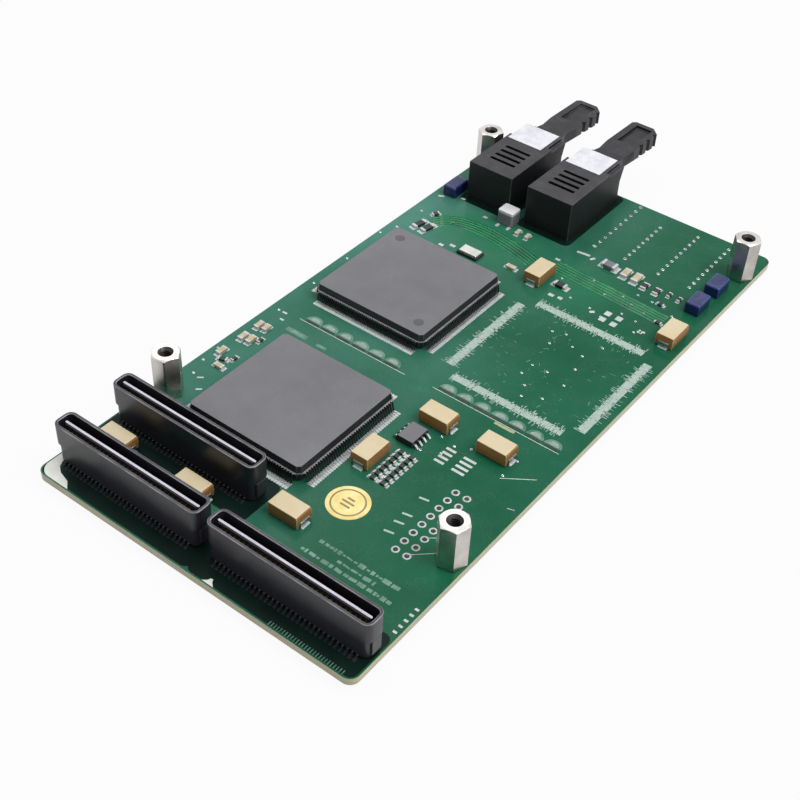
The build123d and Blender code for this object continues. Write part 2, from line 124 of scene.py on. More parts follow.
def centre(node):
    """Middle of a CAD node's box, in metres."""
    low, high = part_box(node)
    return (Vector(low) + Vector(high)) / 2


# Node trees


def add_node(tree, kind, inputs=None, **settings):
    """Adds a node, sets its properties, then links or sets its inputs by name or number."""
    made = tree.nodes.new(kind)
    for name, value in settings.items():
        setattr(made, name, value)
    for key, value in (inputs or {}).items():
        if isinstance(value, bpy.types.NodeSocket):
            tree.links.new(value, made.inputs[key])
        else:
            made.inputs[key].default_value = value
    return made


def calculate(tree, operation, *values):
    """One math step, or its result's socket."""
    return add_node(tree, "ShaderNodeMath", dict(enumerate(values)), operation=operation).outputs[0]


def blended(tree, amount, first, second, mode="MIX"):
    """Colour between first and second."""
    inputs = {"Factor": amount, 6: first, 7: second}
    mix = add_node(tree, "ShaderNodeMix", data_type="RGBA", blend_type=mode)
    for key, value in inputs.items():
        socket = mix.inputs[key] if key != "Factor" else mix.inputs[0]
        if isinstance(value, bpy.types.NodeSocket):
            tree.links.new(value, socket)
        else:
            socket.default_value = value
    return mix.outputs[2]


def spread(tree, value, low, high, to_low=0.0, to_high=1.0):
    """A value stretched from low..high to to_low..to_high and clamped."""
    inputs = {"Value": value, 1: low, 2: high, 3: to_low, 4: to_high}
    return add_node(tree, "ShaderNodeMapRange", inputs).outputs[0]


def new_group(name, kind, inputs, outputs):
    """A node group with named sockets; gives the group, its input sockets and its output node."""
    group = bpy.data.node_groups.new(name, kind)
    for direction, sockets in (("INPUT", inputs), ("OUTPUT", outputs)):
        for label, socket in sockets.items():
            group.interface.new_socket(name=label, in_out=direction, socket_type="NodeSocket" + socket)
    given = group.nodes.new("NodeGroupInput").outputs
    result = group.nodes.new("NodeGroupOutput").inputs
    return group, given, result


# Effects that several finishes share


def uneven_tone_group():
    """Two tones of one finish, mixed in soft patches."""
    sockets = {"Color": "Color", "Second": "Color", "Scale": "Float", "Contrast": "Float"}
    group, given, result = new_group("Uneven tone", "ShaderNodeTree", sockets, {"Color": "Color", "Mask": "Float"})
    place = add_node(group, "ShaderNodeTexCoord").outputs["Object"]
    inputs = {"Vector": place, "Scale": given["Scale"], "Detail": 5.0, "Roughness": 0.62}
    noise = add_node(group, "ShaderNodeTexNoise", inputs).outputs["Fac"]
    half = calculate(group, "MULTIPLY", given["Contrast"], -0.5)
    lower = calculate(group, "ADD", half, 0.5)
    upper = calculate(group, "SUBTRACT", 1.0, lower)
    mask = spread(group, noise, upper, lower)
    group.links.new(blended(group, mask, given["Color"], given["Second"]), result["Color"])
    group.links.new(mask, result["Mask"])
    return group


def grain_group():
    """Fine surface grain: a height, and a value to vary the roughness with."""
    sockets = {"Scale": "Float", "Roughness": "Float", "Variation": "Float"}
    outputs = {"Height": "Float", "Roughness": "Float"}
    group, given, result = new_group("Surface grain", "ShaderNodeTree", sockets, outputs)
    place = add_node(group, "ShaderNodeTexCoord").outputs["Object"]
    inputs = {"Vector": place, "Scale": given["Scale"], "Detail": 3.0}
    fine = add_node(group, "ShaderNodeTexNoise", inputs).outputs["Fac"]
    wide_scale = calculate(group, "MULTIPLY", given["Scale"], 0.06)
    wide = add_node(group, "ShaderNodeTexNoise", {"Vector": place, "Scale": wide_scale}).outputs["Fac"]
    shift = calculate(group, "MULTIPLY", calculate(group, "SUBTRACT", wide, 0.5), given["Variation"])
    group.links.new(fine, result["Height"])
    group.links.new(calculate(group, "ADD", given["Roughness"], shift), result["Roughness"])
    return group


def wear_and_highlight_group():
    """Edge colour and settled dust over a colour; the edge colour is rubbing on some finishes and a painted highlight
    on others. The edges come from the piece's own attribute.
    """
    sockets = {"Color": "Color", "Edge Colour": "Color", "Wear": "Float", "Dust": "Float"}
    group, given, result = new_group("Edge rubbing, highlights and dust", "ShaderNodeTree", sockets, {"Color": "Color"})
    place = add_node(group, "ShaderNodeTexCoord").outputs["Object"]
    edge = add_node(group, "ShaderNodeAttribute", attribute_name="edge").outputs["Fac"]
    patches = add_node(group, "ShaderNodeTexNoise", {"Vector": place, "Scale": 260.0, "Detail": 4.0}).outputs["Fac"]
    # Edge mask: rubbing on some finishes, painted highlight on others.
    lit_and_rubbed_edges = calculate(group, "MULTIPLY", spread(group, patches, 0.35, 0.6, 0.35), edge)
    lit_and_rubbed_edges = calculate(group, "MULTIPLY", lit_and_rubbed_edges, given["Wear"])
    colour = blended(group, lit_and_rubbed_edges, given["Color"], given["Edge Colour"])
    normal = add_node(group, "ShaderNodeNewGeometry").outputs["Normal"]
    upward = add_node(group, "ShaderNodeSeparateXYZ", {0: normal}).outputs["Z"]
    specks = add_node(group, "ShaderNodeTexNoise", {"Vector": place, "Scale": 2600.0, "Detail": 6.0}).outputs["Fac"]
    film = calculate(group, "MULTIPLY", spread(group, patches, 0.4, 0.75), spread(group, specks, 0.42, 0.68))
    film = calculate(group, "MULTIPLY", film, spread(group, upward, 0.5, 1.0))
    film = calculate(group, "MULTIPLY", film, given["Dust"])
    dust_tone = (0.5, 0.49, 0.47, 1.0)
    group.links.new(blended(group, film, colour, dust_tone), result["Color"])
    return group


def steep_group():
    """One colour on the faces that look up or down, another on the vertical ones: bare laminate on the board's edges,
    and painted shade on the sides of parts.
    """
    sockets = {"Flat": "Color", "Upright": "Color"}
    group, given, result = new_group("Flat and upright", "ShaderNodeTree", sockets, {"Color": "Color"})
    normal = add_node(group, "ShaderNodeNewGeometry").outputs["True Normal"]
    upward = add_node(group, "ShaderNodeSeparateXYZ", {0: normal}).outputs["Z"]
    flat = spread(group, calculate(group, "ABSOLUTE", upward), 0.75, 0.95)
    group.links.new(blended(group, flat, given["Upright"], given["Flat"]), result["Color"])
    return group


UNEVEN_TONE = uneven_tone_group()
STEEP = steep_group()
GRAIN = grain_group()
WEAR_AND_HIGHLIGHT = wear_and_highlight_group()


def place_group(tree, group, inputs):
    """Puts a shared effect in a material with that material's own values."""
    made = tree.nodes.new("ShaderNodeGroup")
    made.node_tree = group
    for label, value in inputs.items():
        if isinstance(value, bpy.types.NodeSocket):
            tree.links.new(value, made.inputs[label])
        else:
            made.inputs[label].default_value = value
    return made.outputs


def new_material(name):
    """An empty material with its Principled shader."""
    material = bpy.data.materials.new(name)
    material.use_nodes = True
    return material, material.node_tree, material.node_tree.nodes["Principled BSDF"]


def surface(tree, shader, colour, roughness, variation, grain_scale, grain_depth):
    """Connects a colour, a varied roughness and a grain bump to the shader."""
    grain = place_group(tree, GRAIN, {"Scale": grain_scale, "Roughness": roughness, "Variation": variation})
    bump = add_node(tree, "ShaderNodeBump", {"Strength": 1.0, "Distance": grain_depth * MM, "Height": grain["Height"]})
    tree.links.new(colour, shader.inputs["Base Color"])
    tree.links.new(grain["Roughness"], shader.inputs["Roughness"])
    tree.links.new(bump.outputs[0], shader.inputs["Normal"])


def finish(
    name,
    colour,
    second,
    roughness,
    metallic=0.0,
    patch_scale=120.0,
    contrast=0.4,
    variation=0.2,
    grain_scale=4000.0,
    grain_depth=0.006,
    edge_highlight_and_wear=None,
    edge_amount=0.0,
    dust=0.1,
    upright_painted_shade=None,
    foot=None,
    specular=0.5,
):
    """A moulded, plated or printed finish from the shared effects."""
    material, tree, shader = new_material(name)
    inputs = {"Color": linear(colour), "Second": linear(second), "Scale": patch_scale, "Contrast": contrast}
    tone = place_group(tree, UNEVEN_TONE, inputs)
    inputs = {"Color": tone["Color"], "Edge Colour": linear(edge_highlight_and_wear or second), "Wear": edge_amount, "Dust": dust}
    # Painted shade: vertical faces take a darker colour.
    if upright_painted_shade:
        inputs["Color"] = place_group(tree, STEEP, {"Flat": tone["Color"], "Upright": linear(upright_painted_shade)})["Color"]
    # Painted shade: below the shroud's step the colour turns to the darker foot colour.
    if foot:
        place = add_node(tree, "ShaderNodeTexCoord").outputs["Object"]
        height = add_node(tree, "ShaderNodeSeparateXYZ", {0: place}).outputs["Z"]
        below = calculate(tree, "LESS_THAN", height, board_high[2] + SHELL_STEP * MM)
        inputs["Color"] = blended(tree, below, tone["Color"], linear(foot))
    colour_out = place_group(tree, WEAR_AND_HIGHLIGHT, inputs)["Color"]
    surface(tree, shader, colour_out, roughness, variation, grain_scale, grain_depth)
    shader.inputs["Metallic"].default_value = metallic
    shader.inputs["Specular IOR Level"].default_value = specular
    return material


# Places where a brighter green is painted on the mask as a sheen: x, distance from the rear edge, reach
SHEEN_ZONES = [(-14.0, 114.0, 13.0), (-25.0, 114.0, 9.0), (9.0, 112.0, 12.0), (31.0, 30.0, 9.0)]


def board_finish():
    """Green mask on both faces, bare laminate with its layers on the edges."""
    material, tree, shader = new_material("board_mask")
    inputs = {"Color": linear(MASK_GREEN), "Second": linear(MASK_DEEP_GREEN), "Scale": 45.0, "Contrast": 0.35}
    mask = place_group(tree, UNEVEN_TONE, inputs)["Color"]
    place = add_node(tree, "ShaderNodeTexCoord").outputs["Object"]
    patches = add_node(tree, "ShaderNodeTexNoise", {"Vector": place, "Scale": 26.0, "Detail": 4.0}).outputs["Fac"]
    across = add_node(tree, "ShaderNodeSeparateXYZ", {0: place}).outputs["X"]
    leftward = spread(tree, across, 0.02, -0.034, 0.15, 1.0)
    haze = calculate(tree, "MULTIPLY", spread(tree, patches, 0.3, 0.66, 0.25, 1.0), leftward)
    mask = blended(tree, haze, mask, linear(MASK_HAZE))
    # Painted sheen: soft round patches of brighter green on the mask.
    for x, inset, reach in SHEEN_ZONES:
        inputs = {0: place, 1: spot(x, inset)}
        distance = add_node(tree, "ShaderNodeVectorMath", inputs, operation="DISTANCE").outputs["Value"]
        near = spread(tree, distance, reach * MM, 0.0, 0.0, 0.5)
        mask = blended(tree, near, mask, linear(MASK_SHEEN))
    stretched = add_node(tree, "ShaderNodeMapping", {"Vector": place, "Scale": (1.0, 1.0, 60.0)}).outputs[0]
    layers = add_node(tree, "ShaderNodeTexNoise", {"Vector": stretched, "Scale": 180.0, "Detail": 4.0}).outputs["Fac"]
    laminate = blended(tree, spread(tree, layers, 0.35, 0.65), linear(LAMINATE), linear(LAMINATE_DARK))
    colour = place_group(tree, STEEP, {"Flat": mask, "Upright": laminate})["Color"]
    inputs = {"Color": colour, "Edge Colour": linear(LAMINATE), "Wear": 0.0, "Dust": 0.05}
    surface(tree, shader, place_group(tree, WEAR_AND_HIGHLIGHT, inputs)["Color"], 0.2, 0.16, 700.0, 0.012)
    shader.inputs["Specular IOR Level"].default_value = 0.1
    return material


MATERIALS = {
    "board": board_finish(),
    # Painted highlight on the rim's broken edges, painted shade on the foot below the step.
    "shroud": finish(
        "connector_plastic",
        SHROUD_BLACK,
        "#19181d",
        0.34,
        edge_highlight_and_wear=SHROUD_RIM_HIGHLIGHT,
        edge_amount=1.0,
        dust=0.05,
        foot=FOOT_SHADE,
    ),
    # Painted shade on the tongue's vertical faces.
    "tongue": finish("tongue_plastic", TONGUE_GREY, "#4a4953", 0.5, patch_scale=300.0, upright_painted_shade="#2a2930"),
    "tongue_tip": finish("tongue_tip_plastic", "#c9c8d2", "#adacb8", 0.42, patch_scale=300.0),
    "contact": finish("contact_gold", GOLD, "#a98449", 0.28, metallic=1.0, patch_scale=500.0),
    # Painted reflection: white on the standoffs' top chamfer and end face.
    "standoff": finish("standoff_nickel", NICKEL, NICKEL_DULL, 0.3, metallic=1.0, edge_highlight_and_wear="#ffffff", edge_amount=0.5),
    "screw": finish("screw_zinc", "#c4c2bd", "#8f8d89", 0.34, metallic=1.0, edge_highlight_and_wear="#f0f0f0", edge_amount=0.5),
    # Painted reflection: the top is lighter grey than the black compound; painted shade on the vertical sides.
    "package": finish(
        "package_compound",
        PACKAGE_TOP_SHEEN,
        PACKAGE_DARK,
        0.5,
        patch_scale=60.0,
        edge_highlight_and_wear="#7c7c82",
        edge_amount=0.35,
        upright_painted_shade="#151517",
    ),
    # Painted shade on the sloping and vertical parts of the leads.
    "lead": finish("lead_tin", TIN, TIN_DULL, 0.3, metallic=0.7, patch_scale=400.0, dust=0.0, upright_painted_shade="#2f2d2e"),
    "bright_pad": finish("tinned_pads", "#c6c8ca", "#a7aeac", 0.45, metallic=0.15, patch_scale=500.0, dust=0.0),
    # Painted shade inside the standoffs' bores and on their threads.
    "bore": finish("bore_painted_shade", "#4a4745", "#2c2a29", 0.45, metallic=0.8, patch_scale=500.0, dust=0.0),
    # Painted shade: the connector tails and their pads are darkened tin, darker still on vertical faces.
    "tail": finish("tail_tin_painted_shade", "#33323a", "#28272e", 0.5, metallic=0.5, patch_scale=400.0, dust=0.0, upright_painted_shade="#1c1b1e"),
    # Painted shade on the capacitors' vertical faces.
    "capacitor": finish(
        "capacitor_resin",
        RESIN_TAN,
        RESIN_BROWN,
        0.42,
        patch_scale=250.0,
        edge_highlight_and_wear="#e3d2ab",
        edge_amount=0.5,
        upright_painted_shade="#8f6738",
    ),
    "terminal": finish("terminal_tin", TIN, TIN_DULL, 0.34, metallic=1.0, patch_scale=500.0, dust=0.0),
    # Painted shade on the housings' vertical faces.
    "housing": finish(
        "housing_plastic",
        "#343337",
        "#2a292d",
        0.5,
        edge_highlight_and_wear="#55555b",
        edge_amount=0.6,
        grain_depth=0.014,
        upright_painted_shade="#0f0f12",
        specular=0.3,
    ),
    "inner_board": finish("inner_board_mask", MASK_GREEN, MASK_DEEP_GREEN, 0.35),
    "optics": finish("optics_plastic", "#26262a", "#1d1d20", 0.4),
    "label": finish("label_film", LABEL_WHITE, LABEL_GREY, 0.5, patch_scale=260.0, contrast=0.25),
    "plug": finish(
        "dust_plug_plastic",
        PLUG_BLACK,
        "#1c1b22",
        0.42,
        edge_highlight_and_wear="#4a4950",
        edge_amount=0.7,
        grain_depth=0.012,
        specular=0.3,
    ),
    "ceramic": finish("oscillator_ceramic", "#2c2a28", "#1f1e1d", 0.6),
    "lid": finish("oscillator_lid_metal", LID, "#c4c7be", 0.34, metallic=0.5, patch_scale=500.0),
    "ferrite": finish("inductor_ferrite", FERRITE, "#5c5d61", 0.6, edge_highlight_and_wear="#a0a1a5", edge_amount=0.5),
    "pale_cap": finish("inductor_cap_plastic", "#dcdcdf", "#c6c7cb", 0.5),
    "blue": finish("blue_resin", BLUE, "#101c46", 0.34, edge_highlight_and_wear="#2c3c7c", edge_amount=0.6),
    "pin": finish("pin_tin", TIN, TIN_DULL, 0.3, metallic=1.0, patch_scale=600.0, dust=0.0),
    "silk": finish("silk_ink", SILK, "#a9b3aa", 0.6, patch_scale=900.0, contrast=0.6),
    "solder": finish("solder", "#d3d5da", "#a3a6ad", 0.26, metallic=1.0, patch_scale=700.0, dust=0.0),
    "residue": finish("flux_residue", RESIDUE, RESIDUE_GREEN, 0.42, patch_scale=900.0, contrast=0.6),
    "dome": finish("thin_flux", DOME_GREEN, MASK_GREEN, 0.3, patch_scale=420.0, contrast=0.5),
    "dome_middle": finish("dried_flux", "#a3b4ae", "#47695c", 0.4, patch_scale=1500.0, contrast=0.75),
    "mould_mark": finish("mould_mark", "#4f4f53", "#434347", 0.55),
    # Painted highlight on the package's mould ledge.
    "seam": finish("package_seam", "#9b9ba0", "#77777c", 0.5, patch_scale=300.0),
    "gold": finish("bare_gold_strip", "#a9ad82", "#7f9468", 0.5, patch_scale=1600.0, contrast=0.7),
    # Painted shadow: near black green laid round the connectors and transceivers where their shade falls on the board.
    "painted_shadow": finish("painted_shadow", "#08221b", "#081612", 0.4, patch_scale=150.0, dust=0.0, specular=0.1),
    # Painted reflection: near white on the bare tinned copper at the rear edge.
    "white_edge": finish("bare_tinned_edge_painted_reflection", "#ecece6", "#d6d9d2", 0.5, patch_scale=300.0),
    "trace": finish("traces_under_mask", TRACE_GREEN, MASK_GREEN, 0.22, patch_scale=150.0, specular=0.4),
    "chip_beige": finish("chip_ceramic", CERAMIC_BEIGE, "#a98f69", 0.5, patch_scale=800.0),
    "chip_black": finish("chip_glaze", RESISTOR_BLACK, "#0f0f10", 0.3, patch_scale=800.0),
    # Dark green painted as the shade inside open holes; also used for the dark lines at the domes' flat sides.
    "hole": finish("open_hole", "#122019", "#1d3327", 0.7, patch_scale=900.0),
    "sticker": finish("sticker_film", STICKER_YELLOW, "#d8c069", 0.5, patch_scale=300.0),
    "sticker_print": finish("sticker_print", STICKER_BROWN, "#8b7450", 0.5, patch_scale=500.0),
}


# Pieces


def softened(node, width, segments=2, body="module", material=None):
    """The CAD node's own shape with its sharp edges broken, shown in its place."""
    mesh = nodes[node].data.copy()
    mesh.name = node + "_soft"
    mesh.materials.clear()
    build = bmesh.new()
    build.from_mesh(mesh)
    bmesh.ops.remove_doubles(build, verts=build.verts, dist=0.0005 * MM)
    bmesh.ops.dissolve_limit(build, angle_limit=math.radians(1), verts=build.verts, edges=build.edges)
    build.to_mesh(mesh)
    build.free()
    for _ in range(2):
        mesh.materials.append(material)
    piece = bpy.data.objects.new(node + "_finished", mesh)
    bpy.context.collection.objects.link(piece)
    bevel = piece.modifiers.new("Broken edges", "BEVEL")
    bevel.width = width * MM
    bevel.segments = segments
    bevel.limit_method = "ANGLE"
    bevel.angle_limit = math.radians(35)
    bevel.harden_normals = True
    bevel.material = 1
    done = bpy.data.meshes.new_from_object(piece.evaluated_get(bpy.context.evaluated_depsgraph_get()))
    piece.modifiers.clear()
    mark_edges(done)
    piece.data = done
    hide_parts(node)
    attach(piece, body)
    return piece


def mark_edges(mesh):
    """Stores which faces are broken edges, then gives every face the first material."""
    marked = [float(face.material_index) for face in mesh.polygons]
    mesh.attributes.new("edge", "FLOAT", "FACE").data.foreach_set("value", marked)
    mesh.polygons.foreach_set("material_index", [0] * len(marked))
    mesh.materials.pop()


slot_of = {part["node"]: part["material_slot"] for part in frame["record"]["subparts"]}

EDGE_BREAKS = {
    "package": 0.1,
    "capacitor": 0.16,
    "terminal": 0.05,
    "housing": 0.16,
    "plug": 0.3,
    "blue": 0.2,
    "ferrite": 0.12,
    "pale_cap": 0.12,
    "lid": 0.06,
}
PLUG_BODIES = {side + "_dust_plug": side + "_plug" for side in SIDES}

for node, slot in slot_of.items():
    nodes[node].data.materials.clear()
    nodes[node].data.materials.append(MATERIALS["terminal" if node == "small_chip_leads" else slot])
    if slot in EDGE_BREAKS:
        body = PLUG_BODIES.get(node, "module")
        softened(node, EDGE_BREAKS[slot], body=body, material=MATERIALS[slot])


# Trees for what repeats


def finish_tree(tree, geometry, material, result):
    """Ends a tree: the instances become a real mesh in one material."""
    real = add_node(tree, "GeometryNodeRealizeInstances", {"Geometry": geometry}).outputs[0]
    painted = add_node(tree, "GeometryNodeSetMaterial", {"Geometry": real, "Material": material}).outputs[0]
    tree.links.new(painted, result["Geometry"])
    return tree


def rows_tree():
    """The item in a straight row on one, two or four sides of a place. The item points along +Y."""
    sockets = {
        "Item": "Geometry",
        "Count": "Int",
        "Pitch": "Float",
        "Reach": "Float",
        "Sides": "Int",
        "Place": "Vector",
        "Turn": "Float",
        "Material": "Material",
    }
    tree, given, result = new_group("Rows on the sides", "GeometryNodeTree", sockets, {"Geometry": "Geometry"})
    steps = calculate(tree, "SUBTRACT", given["Count"], 1.0)
    first = calculate(tree, "MULTIPLY", calculate(tree, "MULTIPLY", steps, given["Pitch"]), -0.5)
    start = add_node(tree, "ShaderNodeCombineXYZ", {"X": first, "Y": given["Reach"]}).outputs[0]
    step = add_node(tree, "ShaderNodeCombineXYZ", {"X": given["Pitch"]}).outputs[0]
    inputs = {"Count": given["Count"], "Start Location": start, "Offset": step}
    line = add_node(tree, "GeometryNodeMeshLine", inputs, mode="OFFSET").outputs[0]
    inputs = {"Points": line, "Instance": given["Item"]}
    row = add_node(tree, "GeometryNodeInstanceOnPoints", inputs).outputs[0]
    inputs = {"Count": given["Sides"], "Offset": (0.0, 0.0, 0.0)}
    hub = add_node(tree, "GeometryNodeMeshLine", inputs, mode="OFFSET").outputs[0]
    number = add_node(tree, "GeometryNodeInputIndex").outputs[0]
    share = calculate(tree, "DIVIDE", math.tau, given["Sides"])
    turn = calculate(tree, "ADD", calculate(tree, "MULTIPLY", number, share), given["Turn"])
    angles = add_node(tree, "ShaderNodeCombineXYZ", {"Z": turn}).outputs[0]
    inputs = {"Points": hub, "Instance": row, "Rotation": angles}
    around = add_node(tree, "GeometryNodeInstanceOnPoints", inputs).outputs[0]
    inputs = {"Geometry": around, "Translation": given["Place"]}
    moved = add_node(tree, "GeometryNodeTransform", inputs).outputs[0]
    return finish_tree(tree, moved, given["Material"], result)


def grid_tree():
    """The item on a regular grid round a place."""
    sockets = {
        "Item": "Geometry",
        "Columns": "Int",
        "Rows": "Int",
        "Width": "Float",
        "Length": "Float",
        "Place": "Vector",
        "Material": "Material",
    }
    tree, given, result = new_group("Grid", "GeometryNodeTree", sockets, {"Geometry": "Geometry"})
    inputs = {0: given["Width"], 1: given["Length"], 2: given["Columns"], 3: given["Rows"]}
    grid = add_node(tree, "GeometryNodeMeshGrid", inputs).outputs[0]
    inputs = {"Points": grid, "Instance": given["Item"]}
    items = add_node(tree, "GeometryNodeInstanceOnPoints", inputs).outputs[0]
    inputs = {"Geometry": items, "Translation": given["Place"]}
    moved = add_node(tree, "GeometryNodeTransform", inputs).outputs[0]
    return finish_tree(tree, moved, given["Material"], result)


def places_tree():
    """The item at listed points, with the turn and stretch that each point carries."""
    sockets = {"Points": "Geometry", "Item": "Object", "Material": "Material"}
    tree, given, result = new_group("Listed places", "GeometryNodeTree", sockets, {"Geometry": "Geometry"})
    item = add_node(tree, "GeometryNodeObjectInfo", {"Object": given["Item"]}).outputs["Geometry"]
    turn = add_node(tree, "GeometryNodeInputNamedAttribute", {"Name": "turn"}, data_type="FLOAT").outputs[0]
    stretch = add_node(
        tree, "GeometryNodeInputNamedAttribute", {"Name": "stretch"}, data_type="FLOAT_VECTOR"
    ).outputs[0]
    angles = add_node(tree, "ShaderNodeCombineXYZ", {"Z": turn}).outputs[0]
    inputs = {"Points": given["Points"], "Instance": item, "Rotation": angles, "Scale": stretch}
    items = add_node(tree, "GeometryNodeInstanceOnPoints", inputs).outputs[0]
    return finish_tree(tree, items, given["Material"], result)


def scatter_tree():
    """The item strewn over a rectangle, at least a spacing apart, in a fixed random order."""
    sockets = {
        "Item": "Geometry",
        "Width": "Float",
        "Length": "Float",
        "Spacing": "Float",
        "Seed": "Int",
        "Place": "Vector",
        "Material": "Material",
    }
    tree, given, result = new_group("Scattered", "GeometryNodeTree", sockets, {"Geometry": "Geometry"})
    inputs = {0: given["Width"], 1: given["Length"], 2: 2, 3: 2}
    area = add_node(tree, "GeometryNodeMeshGrid", inputs).outputs[0]
    density = calculate(tree, "DIVIDE", 1.0, calculate(tree, "POWER", given["Spacing"], 2.0))
    inputs = {"Mesh": area, "Distance Min": given["Spacing"], "Density Max": density, "Seed": given["Seed"]}
    points = add_node(
        tree, "GeometryNodeDistributePointsOnFaces", inputs, distribute_method="POISSON"
    ).outputs[0]
    inputs = {"Points": points, "Instance": given["Item"]}
    items = add_node(tree, "GeometryNodeInstanceOnPoints", inputs).outputs[0]
    inputs = {"Geometry": items, "Translation": given["Place"]}
    moved = add_node(tree, "GeometryNodeTransform", inputs).outputs[0]
    return finish_tree(tree, moved, given["Material"], result)


def thread_tree():
    """A screw thread's ridge, wound inside or outside a cylinder."""
    sockets = {
        "Geometry": "Geometry",
        "Turns": "Float",
        "Radius": "Float",
        "Height": "Float",
        "Ridge": "Float",
        "Place": "Vector",
        "Material": "Material",
    }
    tree, given, result = new_group("Thread", "GeometryNodeTree", sockets, {"Geometry": "Geometry"})
    inputs = {
        "Resolution": 24,
        "Rotations": given["Turns"],
        "Start Radius": given["Radius"],
        "End Radius": given["Radius"],
        "Height": given["Height"],
    }
    helix = add_node(tree, "GeometryNodeCurveSpiral", inputs).outputs[0]
    profile = add_node(tree, "GeometryNodeCurvePrimitiveCircle", {"Resolution": 4, "Radius": given["Ridge"]})
    inputs = {"Curve": helix, "Profile Curve": profile.outputs[0], "Fill Caps": True}
    ridge = add_node(tree, "GeometryNodeCurveToMesh", inputs).outputs[0]
    inputs = {"Geometry": ridge, "Translation": given["Place"]}
    moved = add_node(tree, "GeometryNodeTransform", inputs).outputs[0]
    return finish_tree(tree, moved, given["Material"], result)


def bundle_tree():
    """Parallel conductors along each drawn route."""
    sockets = {
        "Routes": "Geometry",
        "Lines": "Int",
        "Pitch": "Float",
        "Width": "Float",
        "Thickness": "Float",
        "Material": "Material",
    }
    tree, given, result = new_group("Bundles", "GeometryNodeTree", sockets, {"Geometry": "Geometry"})
    curve = add_node(tree, "GeometryNodeMeshToCurve", {"Mesh": given["Routes"]}).outputs[0]
    inputs = {"Geometry": curve, "Amount": given["Lines"]}
    copies = add_node(tree, "GeometryNodeDuplicateElements", inputs, domain="SPLINE").outputs
    tangent = add_node(tree, "GeometryNodeInputTangent").outputs[0]
    inputs = {0: tangent, 1: (0.0, 0.0, 1.0)}
    across = add_node(tree, "ShaderNodeVectorMath", inputs, operation="CROSS_PRODUCT").outputs[0]
    shift = calculate(tree, "MULTIPLY", copies["Duplicate Index"], given["Pitch"])
    inputs = {0: across, "Scale": shift}
    offset = add_node(tree, "ShaderNodeVectorMath", inputs, operation="SCALE").outputs[0]
    inputs = {"Geometry": copies["Geometry"], "Offset": offset}
    spaced = add_node(tree, "GeometryNodeSetPosition", inputs).outputs[0]
    level = add_node(tree, "GeometryNodeSetCurveNormal", {"Curve": spaced}, mode="Z_UP").outputs[0]
    inputs = {"Width": given["Width"], "Height": given["Thickness"]}
    profile = add_node(tree, "GeometryNodeCurvePrimitiveQuadrilateral", inputs).outputs[0]
    inputs = {"Curve": level, "Profile Curve": profile, "Fill Caps": True}
    ribbons = add_node(tree, "GeometryNodeCurveToMesh", inputs).outputs[0]
    return finish_tree(tree, ribbons, given["Material"], result)


ROWS = rows_tree()
GRID = grid_tree()
LISTED = places_tree()
SCATTERED = scatter_tree()
THREAD = thread_tree()
BUNDLES = bundle_tree()


def grow(name, tree, start, inputs, material, slot, body="module"):
    """Runs a tree on a start mesh and keeps the result as a plain mesh piece."""
    piece = bpy.data.objects.new(name, start)
    bpy.context.collection.objects.link(piece)
    modifier = piece.modifiers.new("Repeats", "NODES")
    modifier.node_group = tree
    inputs = {**inputs, "Material": MATERIALS[material]}
    for socket in tree.interface.items_tree:
        if socket.in_out == "INPUT" and socket.name in inputs:
            modifier[socket.identifier] = inputs[socket.name]
    mesh = bpy.data.meshes.new_from_object(piece.evaluated_get(bpy.context.evaluated_depsgraph_get()))
    piece.modifiers.clear()
    piece.data = mesh
    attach(piece, body)
    return piece


# Small shapes, in millimetres


def to_mesh(name, build):
    """Turns a bmesh in millimetres into a mesh in metres with its faces outward."""
    bmesh.ops.recalc_face_normals(build, faces=build.faces)
    bmesh.ops.scale(build, vec=(MM, MM, MM), verts=build.verts)
    mesh = bpy.data.meshes.new(name)
    build.to_mesh(mesh)
    build.free()
    return mesh


def bridge(build, sections):
    """Joins equal rings of points into a closed skin with end caps."""
    rings = [[build.verts.new(point) for point in section] for section in sections]
    size = len(rings[0])
    for lower, upper in zip(rings, rings[1:]):
        for i in range(size):
            build.faces.new((lower[i], lower[(i + 1) % size], upper[(i + 1) % size], upper[i]))
    build.faces.new(rings[0][::-1])
    build.faces.new(rings[-1])


def skin(sections, edge_highlight_and_wear=()):
    """A smooth skin through equal rings; the bands between rings that the given numbers count are marked as edges,
    which take a finish's edge colour: rubbing on some finishes, a painted highlight on others.
    """
    build = bmesh.new()
    bridge(build, sections)
    edge = build.faces.layers.float.new("edge")
    for number, face in enumerate(build.faces):
        face[edge] = float(number // len(sections[0]) in edge_highlight_and_wear)
    mesh = to_mesh("skin", build)
    mesh.shade_smooth()
    mesh.set_sharp_from_angle(angle=math.radians(32))
    return mesh


def bent_strip(path, width, thickness):
    """A flat strip bent along (y, z) points, with its width along X."""
    sections = []
    for i, here in enumerate(path):
        before = Vector(path[max(i - 1, 0)])
        after = Vector(path[min(i + 1, len(path) - 1)])
        along = (after - before).normalized()
        side = Vector((-along.y, along.x)) * thickness / 2
        top, bottom = Vector(here) + side, Vector(here) - side
        half = width / 2
        sections.append([(-half, *bottom), (half, *bottom), (half, *top), (-half, *top)])
    build = bmesh.new()
    bridge(build, sections)
    return to_mesh("strip", build)


def plate(outline, height, draw_in=0.0):
    """A thin plate standing on z = 0, with its upper edge drawn in a little."""
    upper = [Vector(point) - Vector(point).normalized() * draw_in for point in outline]
    build = bmesh.new()
    sections = [[(x, y, 0.0) for x, y in outline], [(x, y, 0.6 * height) for x, y in outline]]
    sections.append([(x, y, height) for x, y in upper])
    bridge(build, sections)
    return to_mesh("plate", build)


